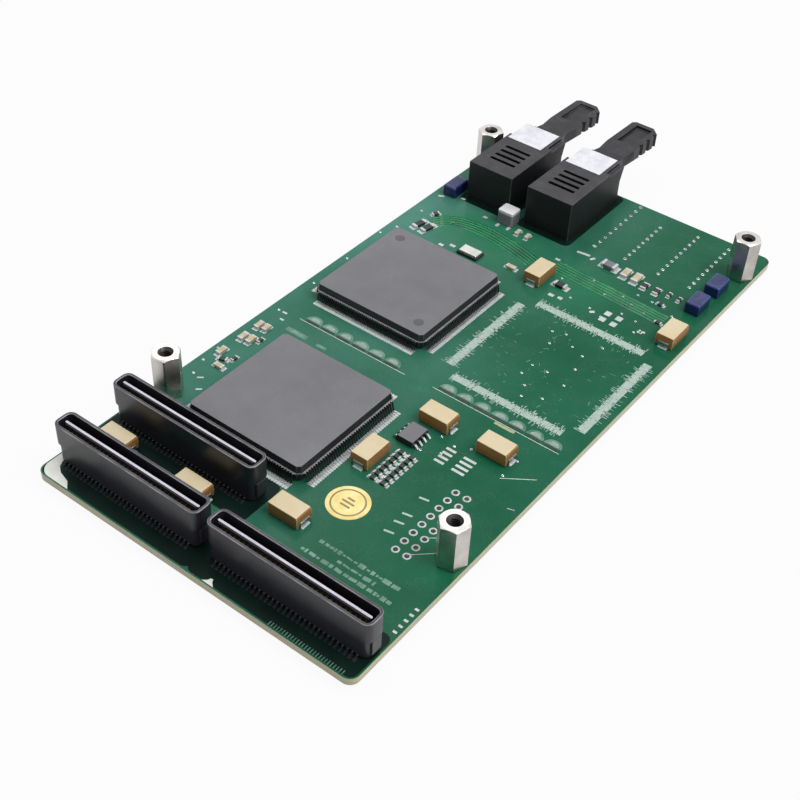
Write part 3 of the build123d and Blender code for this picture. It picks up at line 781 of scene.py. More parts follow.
def rounded(width, length, radius, steps=3):
    """Outline of a rectangle with round corners."""
    outline = []
    for corner, (sx, sy) in enumerate(((1, 1), (-1, 1), (-1, -1), (1, -1))):
        for step in range(steps + 1):
            angle = math.pi / 2 * (corner + step / steps)
            x = sx * (width / 2 - radius) + radius * math.cos(angle)
            y = sy * (length / 2 - radius) + radius * math.sin(angle)
            outline.append((x, y))
    return outline


def circle(radius, count=16):
    """Outline of a circle."""
    return [(radius * math.cos(math.tau * i / count), radius * math.sin(math.tau * i / count)) for i in range(count)]


def turned(profile, count):
    """A ring shaped solid: a closed profile of (radius, height) turned about Z."""
    build = bmesh.new()
    loops = []
    for i in range(count):
        angle = math.tau * i / count
        loops.append([build.verts.new((r * math.cos(angle), r * math.sin(angle), z)) for r, z in profile])
    size = len(profile)
    for i in range(count):
        here, following = loops[i], loops[(i + 1) % count]
        for k in range(size):
            build.faces.new((here[k], here[(k + 1) % size], following[(k + 1) % size], following[k]))
    return to_mesh("turned", build)


def ring(outer, inner, height, count=16):
    """A low ring of solder standing on z = 0."""
    shoulders = (0.7 * inner + 0.3 * outer, 0.35 * inner + 0.65 * outer)
    return turned([(inner, 0.0), (shoulders[0], height), (shoulders[1], height), (outer, 0.0)], count)


def bevelled_box(low, high, bevel):
    """A box between two corners with broken edges."""
    build = bmesh.new()
    bmesh.ops.create_cube(build, size=1.0)
    low, high = Vector(low), Vector(high)
    bmesh.ops.scale(build, vec=high - low, verts=build.verts)
    bmesh.ops.translate(build, vec=(low + high) / 2, verts=build.verts)
    edges = build.edges[:]
    bmesh.ops.bevel(build, geom=edges, offset=bevel, segments=1, profile=0.5, affect="EDGES")
    return to_mesh("box", build)


def joined(*meshes):
    """Several meshes as one."""
    build = bmesh.new()
    for mesh in meshes:
        build.from_mesh(mesh)
    mesh = bpy.data.meshes.new("joined")
    build.to_mesh(mesh)
    build.free()
    return mesh


def moved(mesh, place, turn=0.0):
    """A mesh turned about Z and set at a place."""
    mesh.transform(Matrix.Translation(place) @ Matrix.Rotation(math.radians(turn), 4, "Z"))
    return mesh


def add_piece(name, mesh, material, body="module"):
    """A finished mesh as a piece that rides on a body."""
    mesh.materials.clear()
    mesh.materials.append(MATERIALS[material])
    piece = bpy.data.objects.new(name, mesh)
    bpy.context.collection.objects.link(piece)
    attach(piece, body)
    return piece


def turned_over(piece):
    """Takes a piece made on the board's upper face to its lower face."""
    double_middle = board_low[2] + board_high[2]
    piece.data.transform(Matrix.Translation((0, 0, double_middle)) @ Matrix.Scale(-1, 4, (0, 0, 1)))
    piece.data.flip_normals()


def where(node):
    """A node's middle on the board: x and the distance from the rear edge."""
    middle = centre(node)
    return middle.x / MM, (middle.y - board_low[1]) / MM


def at_places(name, item, places, material, slot):
    """The item at each place: x, distance from the rear edge, turn in degrees, and its length, width and height."""
    template = bpy.data.objects.new(name + "_item", item)
    bpy.context.collection.objects.link(template)
    points = bpy.data.meshes.new(name + "_points")
    points.from_pydata([spot(x, inset) for x, inset, *_ in places], [], [])
    points.attributes.new("turn", "FLOAT", "POINT").data.foreach_set(
        "value", [math.radians(place[2]) for place in places]
    )
    stretch = [size for place in places for size in place[3:6]]
    points.attributes.new("stretch", "FLOAT_VECTOR", "POINT").data.foreach_set("vector", stretch)
    piece = grow(name, LISTED, points, {"Item": template}, material, slot)
    bpy.data.objects.remove(template)
    return piece


# Connector shrouds with their solder tails

SHELL_CORNER = 1.5
SHELL_WALL = 0.6
SHELL_STEP_RISE = 0.2
SHELL_FLOOR = 2.2
SHELL_FOOT_INSET = 0.25
SHELL_LUG_REACH = 0.45
SHELL_LUG_WIDTH = 2.4
SHELL_LUG_BOTTOM = 1.0
SHELL_RIM = 0.15
# Sizes of the painted shadow round each connector.
SHADE_ENDS = 1.2
SHADE_BEHIND = 4.4
SHADE_AHEAD = 2.0
SHADE_CORNER = 1.4
SHADE_MARGIN = 0.35
SHADE_HEIGHT = 0.015
TAIL_COUNT = 32
TAIL_PITCH = 1.0
TAIL_PATH = [(0.0, 0.5), (0.25, 0.42), (0.4, 0.09), (1.0, 0.09)]
TAIL_PAD_MIDDLE = 0.8
TIP_WIDTH = 0.46
TIP_HEIGHT = 0.06


def shroud_skin(length, width, bottom, top):
    """Shroud with a stepped foot, round corners, a broken rim and a cavity down to its floor; its rim bands carry a
    painted highlight.
    """

    def level(height, ends, sides, radius):
        outline = rounded(length - 2 * ends, width - 2 * sides, radius, steps=6)
        return [(x, y, height) for x, y in outline]

    foot = (SHELL_LUG_REACH, SHELL_FOOT_INSET, SHELL_CORNER - SHELL_FOOT_INSET)
    inner_corner = SHELL_CORNER - SHELL_WALL
    near_rim = SHELL_WALL - SHELL_RIM
    sections = [
        level(bottom, *foot),
        level(SHELL_STEP - SHELL_STEP_RISE, *foot),
        level(SHELL_STEP, 0.0, 0.0, SHELL_CORNER),
        level(top - SHELL_RIM, 0.0, 0.0, SHELL_CORNER),
        level(top, SHELL_RIM, SHELL_RIM, SHELL_CORNER - SHELL_RIM),
        level(top, near_rim, near_rim, inner_corner + SHELL_RIM),
        level(top - SHELL_RIM, SHELL_WALL, SHELL_WALL, inner_corner),
        level(SHELL_STEP, SHELL_WALL, SHELL_WALL, inner_corner),
        level(SHELL_FLOOR, SHELL_WALL + SHELL_LUG_REACH, SHELL_WALL + SHELL_FOOT_INSET, inner_corner),
    ]
    return skin(sections, edge_highlight_and_wear=(3, 5))


def painted_shadow(name, node, height, ends, behind, ahead):
    """Painted shadow: a dark plate on the mask round a node's outline, kept clear of the board's edges."""
    low, high = (Vector(corner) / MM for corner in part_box(node))
    behind, ahead = (ends, behind), (ends, ahead)
    first = Vector([max(low[i] - behind[i], board_low[i] / MM + SHADE_MARGIN) for i in (0, 1)])
    last = Vector([min(high[i] + ahead[i], board_high[i] / MM - SHADE_MARGIN) for i in (0, 1)])
    middle = (first + last) / 2
    place = Vector((middle.x * MM, middle.y * MM, board_high[2]))
    area = plate(rounded(*(last - first), SHADE_CORNER), height)
    add_piece(name + "_dark_mask", moved(area, place), "painted_shadow")


def connector(name):
    """One shroud with its end lugs, and a row of tails on each side."""
    node = name + "_connector_shell"
    low, high = (Vector(corner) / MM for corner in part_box(node))
    length, width = high.x - low.x, high.y - low.y
    bottom, top = low.z - board_high[2] / MM, high.z - board_high[2] / MM
    place = centre(node)
    place.z = board_high[2]
    half = SHELL_LUG_WIDTH / 2
    lugs = []
    for side in (-1, 1):
        inner, outer = sorted((side * (length / 2 - 2 * SHELL_LUG_REACH), side * (length / 2)))
        lugs.append(bevelled_box((inner, -half, SHELL_LUG_BOTTOM), (outer, half, SHELL_STEP), 0.12))
    height = SHADE_HEIGHT * (1 + 0.4 * CONNECTORS.index(name))
    # A dark plate painted as the shadow that the shroud casts on the board.
    painted_shadow(name + "_connector", node, height, SHADE_ENDS, SHADE_BEHIND, SHADE_AHEAD)
    shroud = joined(shroud_skin(length, width, bottom, top), *lugs)
    piece = add_piece(node + "_finished", moved(shroud, place), "shroud")
    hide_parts(node)
    inputs = {
        "Count": TAIL_COUNT,
        "Pitch": TAIL_PITCH * MM,
        "Reach": (width / 2 - SHELL_FOOT_INSET) * MM,
        "Sides": 2,
        "Place": place,
        "Turn": 0.0,
    }
    grow(name + "_connector_tails", ROWS, bent_strip(TAIL_PATH, 0.36, 0.16), inputs, "tail", "lead")
    inputs["Reach"] += TAIL_PAD_MIDDLE * MM
    pad = plate(rounded(0.6, 0.9, 0.15, steps=2), 0.04, 0.03)
    grow(name + "_connector_pads", ROWS, pad, inputs, "tail", "lead")
    tongue = name + "_connector_tongue"
    low, high = (Vector(corner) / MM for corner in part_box(tongue))
    place.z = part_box(tongue)[1][2]
    tip = plate(rounded(high.x - low.x - TIP_WIDTH, TIP_WIDTH, 0.4 * TIP_WIDTH), TIP_HEIGHT, 0.02)
    add_piece(tongue + "_tip", moved(tip, place), "tongue_tip")


for name in CONNECTORS:
    connector(name)
# Painted shadow round each transceiver housing.
for name in SIDES:
    painted_shadow(name + "_transceiver", name + "_transceiver_housing", SHADE_HEIGHT, 1.2, 1.8, 1.2)


# Standoffs with threaded ends, and the screws below them

STANDOFF_TURNS = {"rear_left": 8, "rear_right": 13, "front_left": 21, "front_right": 4}
STANDOFF_FLATS = 5.3
STANDOFF_HEIGHT = 10.0
STANDOFF_MOUTH = 1.55
BORE_COVER = 0.03
STANDOFF_STEPS = 120
THREAD_RADIUS = 1.06
THREAD_DEPTH = 5.0
THREAD_PITCH = 0.45
CHAMFER_SLOPE = 1.6
SCREW_RADIUS = 2.25
SCREW_HEIGHT = 1.6
RECESS_WIDTH = 0.5
RECESS_LENGTH = 2.4
RECESS_DEPTH = 0.9


def standoff_skin(turn):
    """Hexagonal pillar whose corners are turned off at both ends, open at the top; the bands of the top chamfer and end
    face carry a painted reflection.
    """
    flat = STANDOFF_FLATS / 2

    def level(height, limit):
        points = []
        for step in range(STANDOFF_STEPS):
            angle = math.tau * step / STANDOFF_STEPS
            from_flat = (angle - math.radians(turn)) % (math.pi / 3) - math.pi / 6
            radius = min(flat / math.cos(from_flat), limit)
            points.append((radius * math.cos(angle), radius * math.sin(angle), height))
        return points

    def chamfered(distance):
        return flat - 0.06 + CHAMFER_SLOPE * distance

    rises = [0.04 * step for step in range(9)]
    sections = [level(rise, chamfered(rise)) for rise in rises]
    sections += [level(STANDOFF_HEIGHT - rise, chamfered(rise)) for rise in reversed(rises)]
    sections += [level(STANDOFF_HEIGHT, STANDOFF_MOUTH)]
    sections += [level(STANDOFF_HEIGHT - STANDOFF_MOUTH + THREAD_RADIUS, THREAD_RADIUS)]
    sections += [level(STANDOFF_HEIGHT - THREAD_DEPTH, THREAD_RADIUS)]
    return skin(sections, edge_highlight_and_wear=range(len(rises), 2 * len(rises)))


def bore_shade_lining():
    """The wall of the bore, darkened as painted shade, from just below the mouth to the bottom."""
    mouth, wall = STANDOFF_MOUTH - BORE_COVER, THREAD_RADIUS - BORE_COVER
    top = STANDOFF_HEIGHT - BORE_COVER
    cone_end = top - STANDOFF_MOUTH + THREAD_RADIUS
    bottom = STANDOFF_HEIGHT - THREAD_DEPTH + BORE_COVER
    outer = [(mouth + BORE_COVER, top), (wall + BORE_COVER, cone_end), (wall + BORE_COVER, bottom)]
    inner = [(0.02, bottom), (0.02, bottom + BORE_COVER), (wall, bottom + BORE_COVER), (wall, cone_end), (mouth, top)]
    return turned(outer + inner, 40)


def screw_skin():
    """Pan head with its shank, head down, its lowest face on z = 0."""
    profile = [(1.6, 0.0), (1.95, 0.06), (2.15, 0.25), (SCREW_RADIUS, 0.6), (SCREW_RADIUS, SCREW_HEIGHT)]
    profile += [(THREAD_RADIUS - 0.04, SCREW_HEIGHT), (THREAD_RADIUS - 0.04, 3 * SCREW_HEIGHT)]
    return skin([[(x, y, height) for x, y in circle(radius, 40)] for radius, height in profile], edge_highlight_and_wear=(0, 1))


def cut(piece, cutter):
    """Takes a mesh away from a piece."""
    tool = bpy.data.objects.new("cutter", cutter)
    bpy.context.collection.objects.link(tool)
    modifier = piece.modifiers.new("Cut", "BOOLEAN")
    modifier.operation = "DIFFERENCE"
    modifier.object = tool
    piece_mesh = bpy.data.meshes.new_from_object(piece.evaluated_get(bpy.context.evaluated_depsgraph_get()))
    piece.modifiers.clear()
    piece.data = piece_mesh
    bpy.data.objects.remove(tool)


def standoff_and_screw(name):
    """One standoff with the thread in its upper end, and its cross recessed screw."""
    node = "standoff_" + name
    place = centre(node)
    place.z = board_high[2]
    piece = add_piece(node + "_finished", moved(standoff_skin(STANDOFF_TURNS[name]), place), "standoff")
    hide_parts(node)
    thread_height = THREAD_DEPTH - 1.0
    inputs = {
        "Turns": thread_height / THREAD_PITCH,
        "Radius": THREAD_RADIUS * MM,
        "Height": thread_height * MM,
        "Ridge": 0.13 * MM,
        "Place": place + Vector((0, 0, (STANDOFF_HEIGHT - THREAD_DEPTH + 0.4) * MM)),
    }
    # The thread takes the bore's painted shade.
    grow(node + "_thread", THREAD, bpy.data.meshes.new("no_start"), inputs, "bore", "standoff")
    add_piece(node + "_bore", moved(bore_shade_lining(), place), "bore")
    place.z = 0.0
    screw = add_piece("screw_" + name, moved(screw_skin(), place), "screw")
    half, long = RECESS_WIDTH / 2, RECESS_LENGTH / 2
    for x, y in ((half, long), (long, half)):
        cut(screw, moved(bevelled_box((-x, -y, -0.5), (x, y, RECESS_DEPTH), 0.05), place))
    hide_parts("standoff_screws")


for name in STANDOFFS:
    standoff_and_screw(name)


# Chip packages and their leads

PACKAGE_LEADS = {
    "front_controller": {"count": 52, "pitch": 0.5, "width": 0.22, "reach": 1.3, "pad": 0.44},
    "rear_controller": {"count": 40, "pitch": 0.65, "width": 0.3, "reach": 1.6, "pad": 0.58},
}
LEAD_THICKNESS = 0.15
LEAD_EXIT_HEIGHT = 2.05
SEAM_REACH = 14.12
PAD_HEIGHT = 0.04
PAD_BEYOND_LEAD = 0.8


def package_leads(name, count, pitch, width, reach, pad):
    """Formed leads on the four sides of a package, each on its tinned pad."""
    place = centre(name + "_body")
    place.z = board_high[2]
    foot = LEAD_THICKNESS / 2
    path = [
        (0.0, LEAD_EXIT_HEIGHT),
        (0.22, LEAD_EXIT_HEIGHT),
        (0.34, LEAD_EXIT_HEIGHT - 0.12),
        (0.5 * reach - 0.06, foot + 0.16),
        (0.5 * reach + 0.08, foot),
        (reach, foot),
    ]
    inputs = {"Count": count, "Pitch": pitch * MM, "Reach": SEAM_REACH * MM, "Sides": 4, "Place": place, "Turn": 0.0}
    leads = grow(name + "_formed_leads", ROWS, bent_strip(path, width, LEAD_THICKNESS), inputs, "lead", "lead")
    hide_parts(name + "_leads")
    pad_length = 0.5 * reach + PAD_BEYOND_LEAD + 0.25
    inputs["Reach"] = (SEAM_REACH + reach + PAD_BEYOND_LEAD - pad_length / 2) * MM
    outline = rounded(pad, pad_length, 0.4 * pad, steps=2)
    grow(name + "_pads", ROWS, plate(outline, PAD_HEIGHT, 0.03), inputs, "bright_pad", "lead")


SEAM_LEDGE = 0.1
SEAM_THICKNESS = 0.12
SEAM_CORNER = 1.2


def package_seam(name):
    """The thin ledge round a package where the halves of its mould met, coloured light grey as a painted highlight."""
    place = centre(name + "_body")
    place.z = board_high[2] + (LEAD_EXIT_HEIGHT + LEAD_THICKNESS / 2) * MM
    width = 2 * (SEAM_REACH + SEAM_LEDGE)
    ledge = plate(rounded(width, width, SEAM_CORNER, steps=1), SEAM_THICKNESS)
    add_piece(name + "_seam", moved(ledge, place), "seam")


for name, sizes in PACKAGE_LEADS.items():
    package_leads(name, **sizes)
    package_seam(name)

MOULD_MARK_INSET = 3.6
MOULD_MARK_RADIUS = 1.15


def mould_marks():
    """Two round marks that the mould left on the front package."""
    middle = centre("front_controller_body")
    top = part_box("front_controller_body")[1][2]
    reach = (SEAM_REACH - MOULD_MARK_INSET) * MM
    marks = []
    for side in (-1, 1):
        place = Vector((middle.x + side * reach, middle.y - side * reach, top))
        marks.append(moved(plate(circle(MOULD_MARK_RADIUS, 24), 0.012, 0.2), place))
    add_piece("front_controller_mould_marks", joined(*marks), "mould_mark")


mould_marks()


# Empty footprint beside the front controller

EMPTY_PITCH = 0.5
EMPTY_PLACE = (18.4, 85.8)
EMPTY_REACH = 15.5
EMPTY_PAD = rounded(0.47, 1.9, 0.1, steps=2)
EMPTY_COUNT = 52


def empty_footprint():
    """Tinned pads of a package that isn't fitted."""
    inputs = {
        "Count": EMPTY_COUNT,
        "Pitch": EMPTY_PITCH * MM,
        "Reach": EMPTY_REACH * MM,
        "Sides": 4,
        "Place": spot(*EMPTY_PLACE),
        "Turn": 0.0,
    }
    grow("empty_footprint_pads", ROWS, plate(EMPTY_PAD, PAD_HEIGHT, 0.03), inputs, "residue", "lead")


def ragged_ends(seed):
    """Short uneven bars across both edges of the four bands of pads."""
    choice = random.Random(seed)
    x, inset = EMPTY_PLACE
    half = EMPTY_COUNT * EMPTY_PITCH / 2
    bars = []
    for side in range(4):
        turn = math.radians(90 * side)
        for _ in range(RAGGED_COUNT):
            along = choice.uniform(-half, half)
            across = EMPTY_REACH + choice.choice((-1, 1)) * choice.uniform(0.8, 1.3)
            place_x = x + along * math.cos(turn) - across * math.sin(turn)
            place_inset = inset + along * math.sin(turn) + across * math.cos(turn)
            length, width = choice.uniform(0.5, 1.9), choice.uniform(0.07, 0.16)
            bars.append((place_x, place_inset, 90 * side + 90 + choice.uniform(-12, 12), length, width, PAD_HEIGHT))
    return bars


def flecks(seed):
    """Small bright scratches strewn over the middle of the empty footprint."""
    choice = random.Random(seed)
    x, inset = EMPTY_PLACE
    reach = EMPTY_REACH - 2.0
    bars = []
    for _ in range(FLECK_COUNT):
        place = (x + choice.uniform(-reach, reach), inset + choice.uniform(-reach, reach))
        bars.append((*place, choice.uniform(0, 180), choice.uniform(0.2, 1.3), choice.uniform(0.08, 0.2), 0.5 * PAD_HEIGHT))
    return bars


RAGGED_COUNT = 80
FLECK_COUNT = 70
MARK = bevelled_box((-0.5, -0.5, 0.0), (0.5, 0.5, 1.0), 0.05)
empty_footprint()
at_places("empty_footprint_ragged_ends", MARK, ragged_ends(21), "residue", "lead")
at_places("empty_footprint_flecks", MARK, flecks(22), "dome", "lead")


# Header holes and vias

HEADER_COLUMNS = (25.0, 27.5)
HEADER_FIRST = 26.6
HEADER_PITCH = 2.54
HEADER_ROWS = 8
VIA_COLUMNS = {
    3.65: (127.3, 148.0, 10),
    11.35: (127.7, 143.7, 9),
    19.9: (127.6, 146.1, 10),
    27.6: (127.7, 146.3, 10),
}


def both_faces(name, *rest):
    """A grid of items on the upper face, or on the lower one where the name begins with under."""
    piece = grow(name, GRID, *rest)
    if name.startswith("under"):
        turned_over(piece)


def header_holes(face=""):
    """Two rows of plated holes, each a solder ring round a dark disc painted as the shade inside the hole."""
    width = HEADER_COLUMNS[1] - HEADER_COLUMNS[0]
    length = HEADER_PITCH * (HEADER_ROWS - 1)
    middle_x = sum(HEADER_COLUMNS) / 2
    inputs = {
        "Columns": 2,
        "Rows": HEADER_ROWS,
        "Width": width * MM,
        "Length": length * MM,
        "Place": spot(middle_x, HEADER_FIRST + length / 2),
    }
    both_faces(face + "header_rings", ring(0.82, 0.46, 0.08), inputs, "bright_pad", "terminal")
    both_faces(face + "header_openings", plate(circle(0.46), 0.03), inputs, "hole", "board")


def via_columns(face=""):
    """Columns of small plated holes near the front edge."""
    for number, (x, (first, last, count)) in enumerate(VIA_COLUMNS.items()):
        inputs = {
            "Columns": 1,
            "Rows": count,
            "Width": 0.0,
            "Length": (last - first) * MM,
            "Place": spot(x, (first + last) / 2),
        }
        both_faces(f"{face}via_column_{number}", ring(0.42, 0.2, 0.05, 10), inputs, "solder", "terminal")
        # Dark discs painted as the shade inside the vias.
        both_faces(f"{face}via_openings_{number}", plate(circle(0.21, 8), 0.02), inputs, "hole", "board")


SCATTER_AREAS = {
    "vias_rear": (22.0, 10.0, 3.1, 3, 19.0, 54.0),
    "vias_middle": (12.0, 26.0, 2.9, 5, 18.4, 85.8),
    "vias_front": (34.0, 12.0, 3.0, 7, 18.0, 112.0),
    "vias_side": (3.0, 80.0, 4.1, 13, -35.0, 75.0),
}


def scattered_vias():
    """Small vias strewn over the open areas of the board."""
    for name, (width, length, spacing, seed, x, inset) in SCATTER_AREAS.items():
        inputs = {
            "Width": width * MM,
            "Length": length * MM,
            "Spacing": spacing * MM,
            "Seed": seed,
            "Place": spot(x, inset),
        }
        grow(name, SCATTERED, ring(0.3, 0.12, 0.035, 8), inputs, "solder", "terminal")


header_holes()
via_columns()
scattered_vias()


# Small chips: x, distance from the rear edge, turn, length, width, height

BEIGE_CHIPS = [
    (14.6, 122.5, 90, 3.0, 1.6, 0.9),
    (17.4, 122.4, 90, 3.2, 1.7, 0.9),
    (-34.2, 57.0, 90, 2.3, 1.2, 0.8),
    (-32.4, 57.2, 90, 2.0, 1.2, 0.8),
    (-34.2, 52.2, 90, 2.4, 1.3, 0.8),
    (-32.3, 52.4, 90, 2.4, 1.3, 0.8),
    (-34.4, 46.0, 90, 2.4, 1.3, 0.8),
    (-31.6, 42.3, 0, 2.2, 1.2, 0.7),
    (-12.3, 120.0, 90, 1.8, 1.0, 0.7),
    (-9.7, 120.0, 90, 1.8, 1.0, 0.7),
    (-6.0, 107.9, 0, 2.3, 1.2, 0.7),
]
BLACK_CHIPS = [
    (5.9, 109.4, 0, 3.0, 1.5, 0.8),
    (20.0, 121.4, 90, 2.2, 1.3, 0.5),
    (23.0, 121.4, 90, 2.2, 1.3, 0.5),
    (25.7, 122.1, 90, 1.6, 0.8, 0.45),
    (28.2, 122.0, 90, 1.6, 0.8, 0.45),
    (28.6, 112.0, 0, 1.6, 0.8, 0.45),
    (25.9, 117.9, 0, 1.6, 0.8, 0.45),
    (-31.4, 108.1, 78, 3.6, 1.5, 0.6),
    (-29.0, 108.0, 78, 3.6, 1.5, 0.6),
    (-31.0, 113.8, 60, 1.8, 1.1, 0.5),
    (-30.8, 53.6, 90, 1.6, 0.8, 0.45),
    (-30.9, 46.0, 90, 1.6, 0.8, 0.45),
    (-32.6, 44.4, 20, 2.0, 1.1, 0.5),
]
GREY_CHIPS = [(10.4, 122.5, 0, 3.4, 2.1, 1.1)]
ARRAY_COLUMNS = (11.2, 13.6)
ARRAY_FIRST = 37.6
ARRAY_PITCH = 1.42
ARRAY_ROWS = 7
for column in ARRAY_COLUMNS:
    for row in range(ARRAY_ROWS):
        BLACK_CHIPS.append((column, ARRAY_FIRST + row * ARRAY_PITCH, 0, 1.7, 0.8, 0.45))

CHIP_BEVEL = 0.05
CHIP_BODY = bevelled_box((-0.36, -0.48, 0.04), (0.36, 0.48, 0.97), CHIP_BEVEL)
CHIP_ENDS = joined(
    bevelled_box((-0.5, -0.5, 0.0), (-0.3, 0.5, 1.0), CHIP_BEVEL),
    bevelled_box((0.3, -0.5, 0.0), (0.5, 0.5, 1.0), CHIP_BEVEL),
)
CHIP_PADS = joined(
    bevelled_box((-0.72, -0.58, 0.0), (-0.28, 0.58, 0.06), 0.02),
    bevelled_box((0.28, -0.58, 0.0), (0.72, 0.58, 0.06), 0.02),
)
at_places("beige_chip_bodies", CHIP_BODY, BEIGE_CHIPS, "chip_beige", "ceramic")
at_places("black_chip_bodies", CHIP_BODY, BLACK_CHIPS, "chip_black", "ceramic")
at_places("grey_chip_bodies", CHIP_BODY, GREY_CHIPS, "ferrite", "ceramic")
ALL_CHIPS = BEIGE_CHIPS + BLACK_CHIPS + GREY_CHIPS
at_places("chip_ends", CHIP_ENDS, ALL_CHIPS, "bright_pad", "terminal")
at_places("chip_pads", CHIP_PADS, ALL_CHIPS, "bright_pad", "terminal")


# Bare pads, printed marks and conductors: x, distance from the rear edge, turn, length, width, height

FILM = 0.03
BARE_PADS = [
    (-26.1, 113.7, 0, 1.1, 0.7, FILM),
    (-21.7, 120.5, 0, 1.1, 0.7, FILM),
    (-17.8, 119.8, 90, 1.3, 0.7, FILM),
    (-15.1, 120.1, 90, 1.3, 0.7, FILM),
    (-34.6, 120.9, 30, 1.4, 0.6, FILM),
    (-30.0, 123.3, 0, 1.1, 0.6, FILM),
    (0.1, 117.5, 0, 1.2, 0.7, FILM),
    (3.6, 127.4, 0, 1.0, 0.6, FILM),
    (32.2, 121.0, 0, 1.3, 0.8, FILM),
    (-32.2, 37.6, 40, 1.3, 0.4, FILM),
    (-30.0, 34.9, 40, 1.3, 0.4, FILM),
    (-33.2, 63.8, 0, 1.2, 0.5, FILM),
    (-32.2, 61.7, 0, 1.0, 0.5, FILM),
    (30.9, 144.0, 0, 0.8, 0.8, FILM),
    (3.3, 123.2, 8, 3.2, 0.7, FILM),
    (5.9, 122.8, 60, 1.3, 0.6, FILM),
    (15.9, 106.3, 40, 1.1, 0.7, FILM),
    (27.4, 107.1, 30, 1.7, 0.6, FILM),
    (27.2, 107.1, -50, 1.4, 0.4, FILM),
    (6.0, 105.6, 0, 1.3, 0.9, FILM),
    (8.1, 105.9, 0, 1.1, 0.9, FILM),
    (-23.0, 105.0, 0, 1.2, 0.8, FILM),
    (-20.8, 106.4, 0, 1.4, 0.8, FILM),
]
BARE_PADS += [(x, inset, 90, 1.5, 1.4, 3 * FILM) for x in (18.9, 21.6) for inset in (105.5, 107.9)]
PALE_PATCHES = [(-26.9, 60.3, 0, 5.4, 1.2, FILM), (-20.2, 60.1, 0, 2.6, 0.8, FILM)]
BARE_PADS += [(36.0, 12.3 + 1.5 * row, 0, 0.8, 0.5, FILM) for row in range(5)]
BARE_PADS += [(x, 48.9 + 1.3 * row, 0, length, 0.62, FILM) for x, length in ((17.9, 2.2), (22.2, 2.8)) for row in range(4)]
EDGE_TICKS = [(19.0 + 0.6 * step, 0.75, 0, 0.2, 0.9, FILM) for step in range(27)]
HEADER_DASHES = [(21.6, inset, 12, 2.0, 0.45, FILM) for inset in (29.1, 32.0, 34.4, 39.4)]
GOLD_STRIP = [(22.0, 64.4, 0, 4.6, 0.7, FILM)]
SILK_LINES = {
    "silk_footprint": [(18.0, 101.3), (31.0, 101.3)],
    "silk_header_rear": [(27.3, 26.8), (31.1, 30.4)],
    "silk_header_front": [(27.4, 32.0), (29.9, 34.0)],
    "silk_side": [(29.1, 52.6), (34.6, 56.6)],
    "silk_side_short": [(34.4, 47.1), (35.8, 47.6)],
    "silk_left_domes": [(-29.5, 64.35), (-2.0, 64.35)],
    "silk_right_domes": [(4.5, 64.95), (34.0, 64.95)],
}
SILK_WIDTH = 0.16
TRACE_ARCS = {
    "traces_left": ((-31.0, 112.0), (-25.5, 121.5), (-3.0, 114.5)),
    "traces_middle": ((1.0, 117.0), (9.5, 116.5), (29.5, 115.2)),
}
TRACE_LINES = 5
TRACE_PITCH = 0.85
TRACE_WIDTH = 0.72


def smudged_rows(seed):
    """Rows of uneven printed marks beside the rear connector."""
    choice = random.Random(seed)
    marks = []
    for first, last, inset in ((12.2, 31.4, 16.5), (19.0, 27.0, 18.1), (13.6, 31.2, 19.8)):
        x = first
        while x < last:
            length = choice.uniform(0.4, 1.7)
            marks.append((x + length / 2, inset, choice.uniform(-6, 6), length, choice.uniform(0.35, 1.0), FILM))
            x += length + choice.uniform(0.15, 0.5)
    return marks


def drawn(name, points, lines, pitch, width, material, slot):
    """Parallel flat lines along a route of places on the board."""
    route = bpy.data.meshes.new(name)
    links = [(i, i + 1) for i in range(len(points) - 1)]
    route.from_pydata([spot(x, inset, FILM / 2) for x, inset in points], links, [])
    inputs = {"Lines": lines, "Pitch": pitch * MM, "Width": width * MM, "Thickness": FILM * MM}
    return grow(name, BUNDLES, route, inputs, material, slot)


def arc_through(start, pull, end, steps=14):
    """Places along a curve from start to end that a third place pulls aside."""
    places = []
    for step in range(steps + 1):
        t = step / steps
        weights = ((1 - t) ** 2, 2 * t * (1 - t), t**2)
        places.append([sum(w * point[axis] for w, point in zip(weights, (start, pull, end))) for axis in (0, 1)])
    return places


def capacitor_pads():
    """Tinned pads that stand out beyond both ends of every capacitor."""
    pads = []
    for node, slot in slot_of.items():
        if slot != "capacitor":
            continue
        low, high = (Vector(corner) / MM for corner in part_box(node))
        x, inset = where(node)
        along_x = high.x - low.x > high.y - low.y
        reach = max(high.x - low.x, high.y - low.y) / 2 - 0.1
        for side in (-1, 1):
            place = (x + side * reach, inset, 0) if along_x else (x, inset + side * reach, 90)
            pads.append((*place, 1.2, 2.1, FILM))
    return pads


at_places("bare_pads", MARK, BARE_PADS, "bright_pad", "lead")
at_places("pale_patches", MARK, PALE_PATCHES, "dome", "label")
at_places("edge_ticks", MARK, EDGE_TICKS, "dome", "lead")
at_places("capacitor_pads", MARK, capacitor_pads(), "bright_pad", "lead")
at_places("header_dashes", MARK, HEADER_DASHES, "residue", "label")
at_places("smudged_marks", MARK, smudged_rows(4), "dome", "label")
at_places("gold_strip", MARK, GOLD_STRIP, "gold", "lead")
for name, points in SILK_LINES.items():
    drawn(name, points, 1, 0.0, SILK_WIDTH, "silk", "label")
for name, bend in TRACE_ARCS.items():
    drawn(name, arc_through(*bend), TRACE_LINES, TRACE_PITCH, TRACE_WIDTH, "trace", "board")


# Thin flux domes behind the front controller and behind the empty footprint

DOME_RADIUS = 1.95
DOME_FLATTEN = 0.95
DOME_PITCH = 4.1
DOME_ROWS = {"left_domes": (-16.3, 65.3, 6), "right_domes": (19.6, 66.0, 7)}


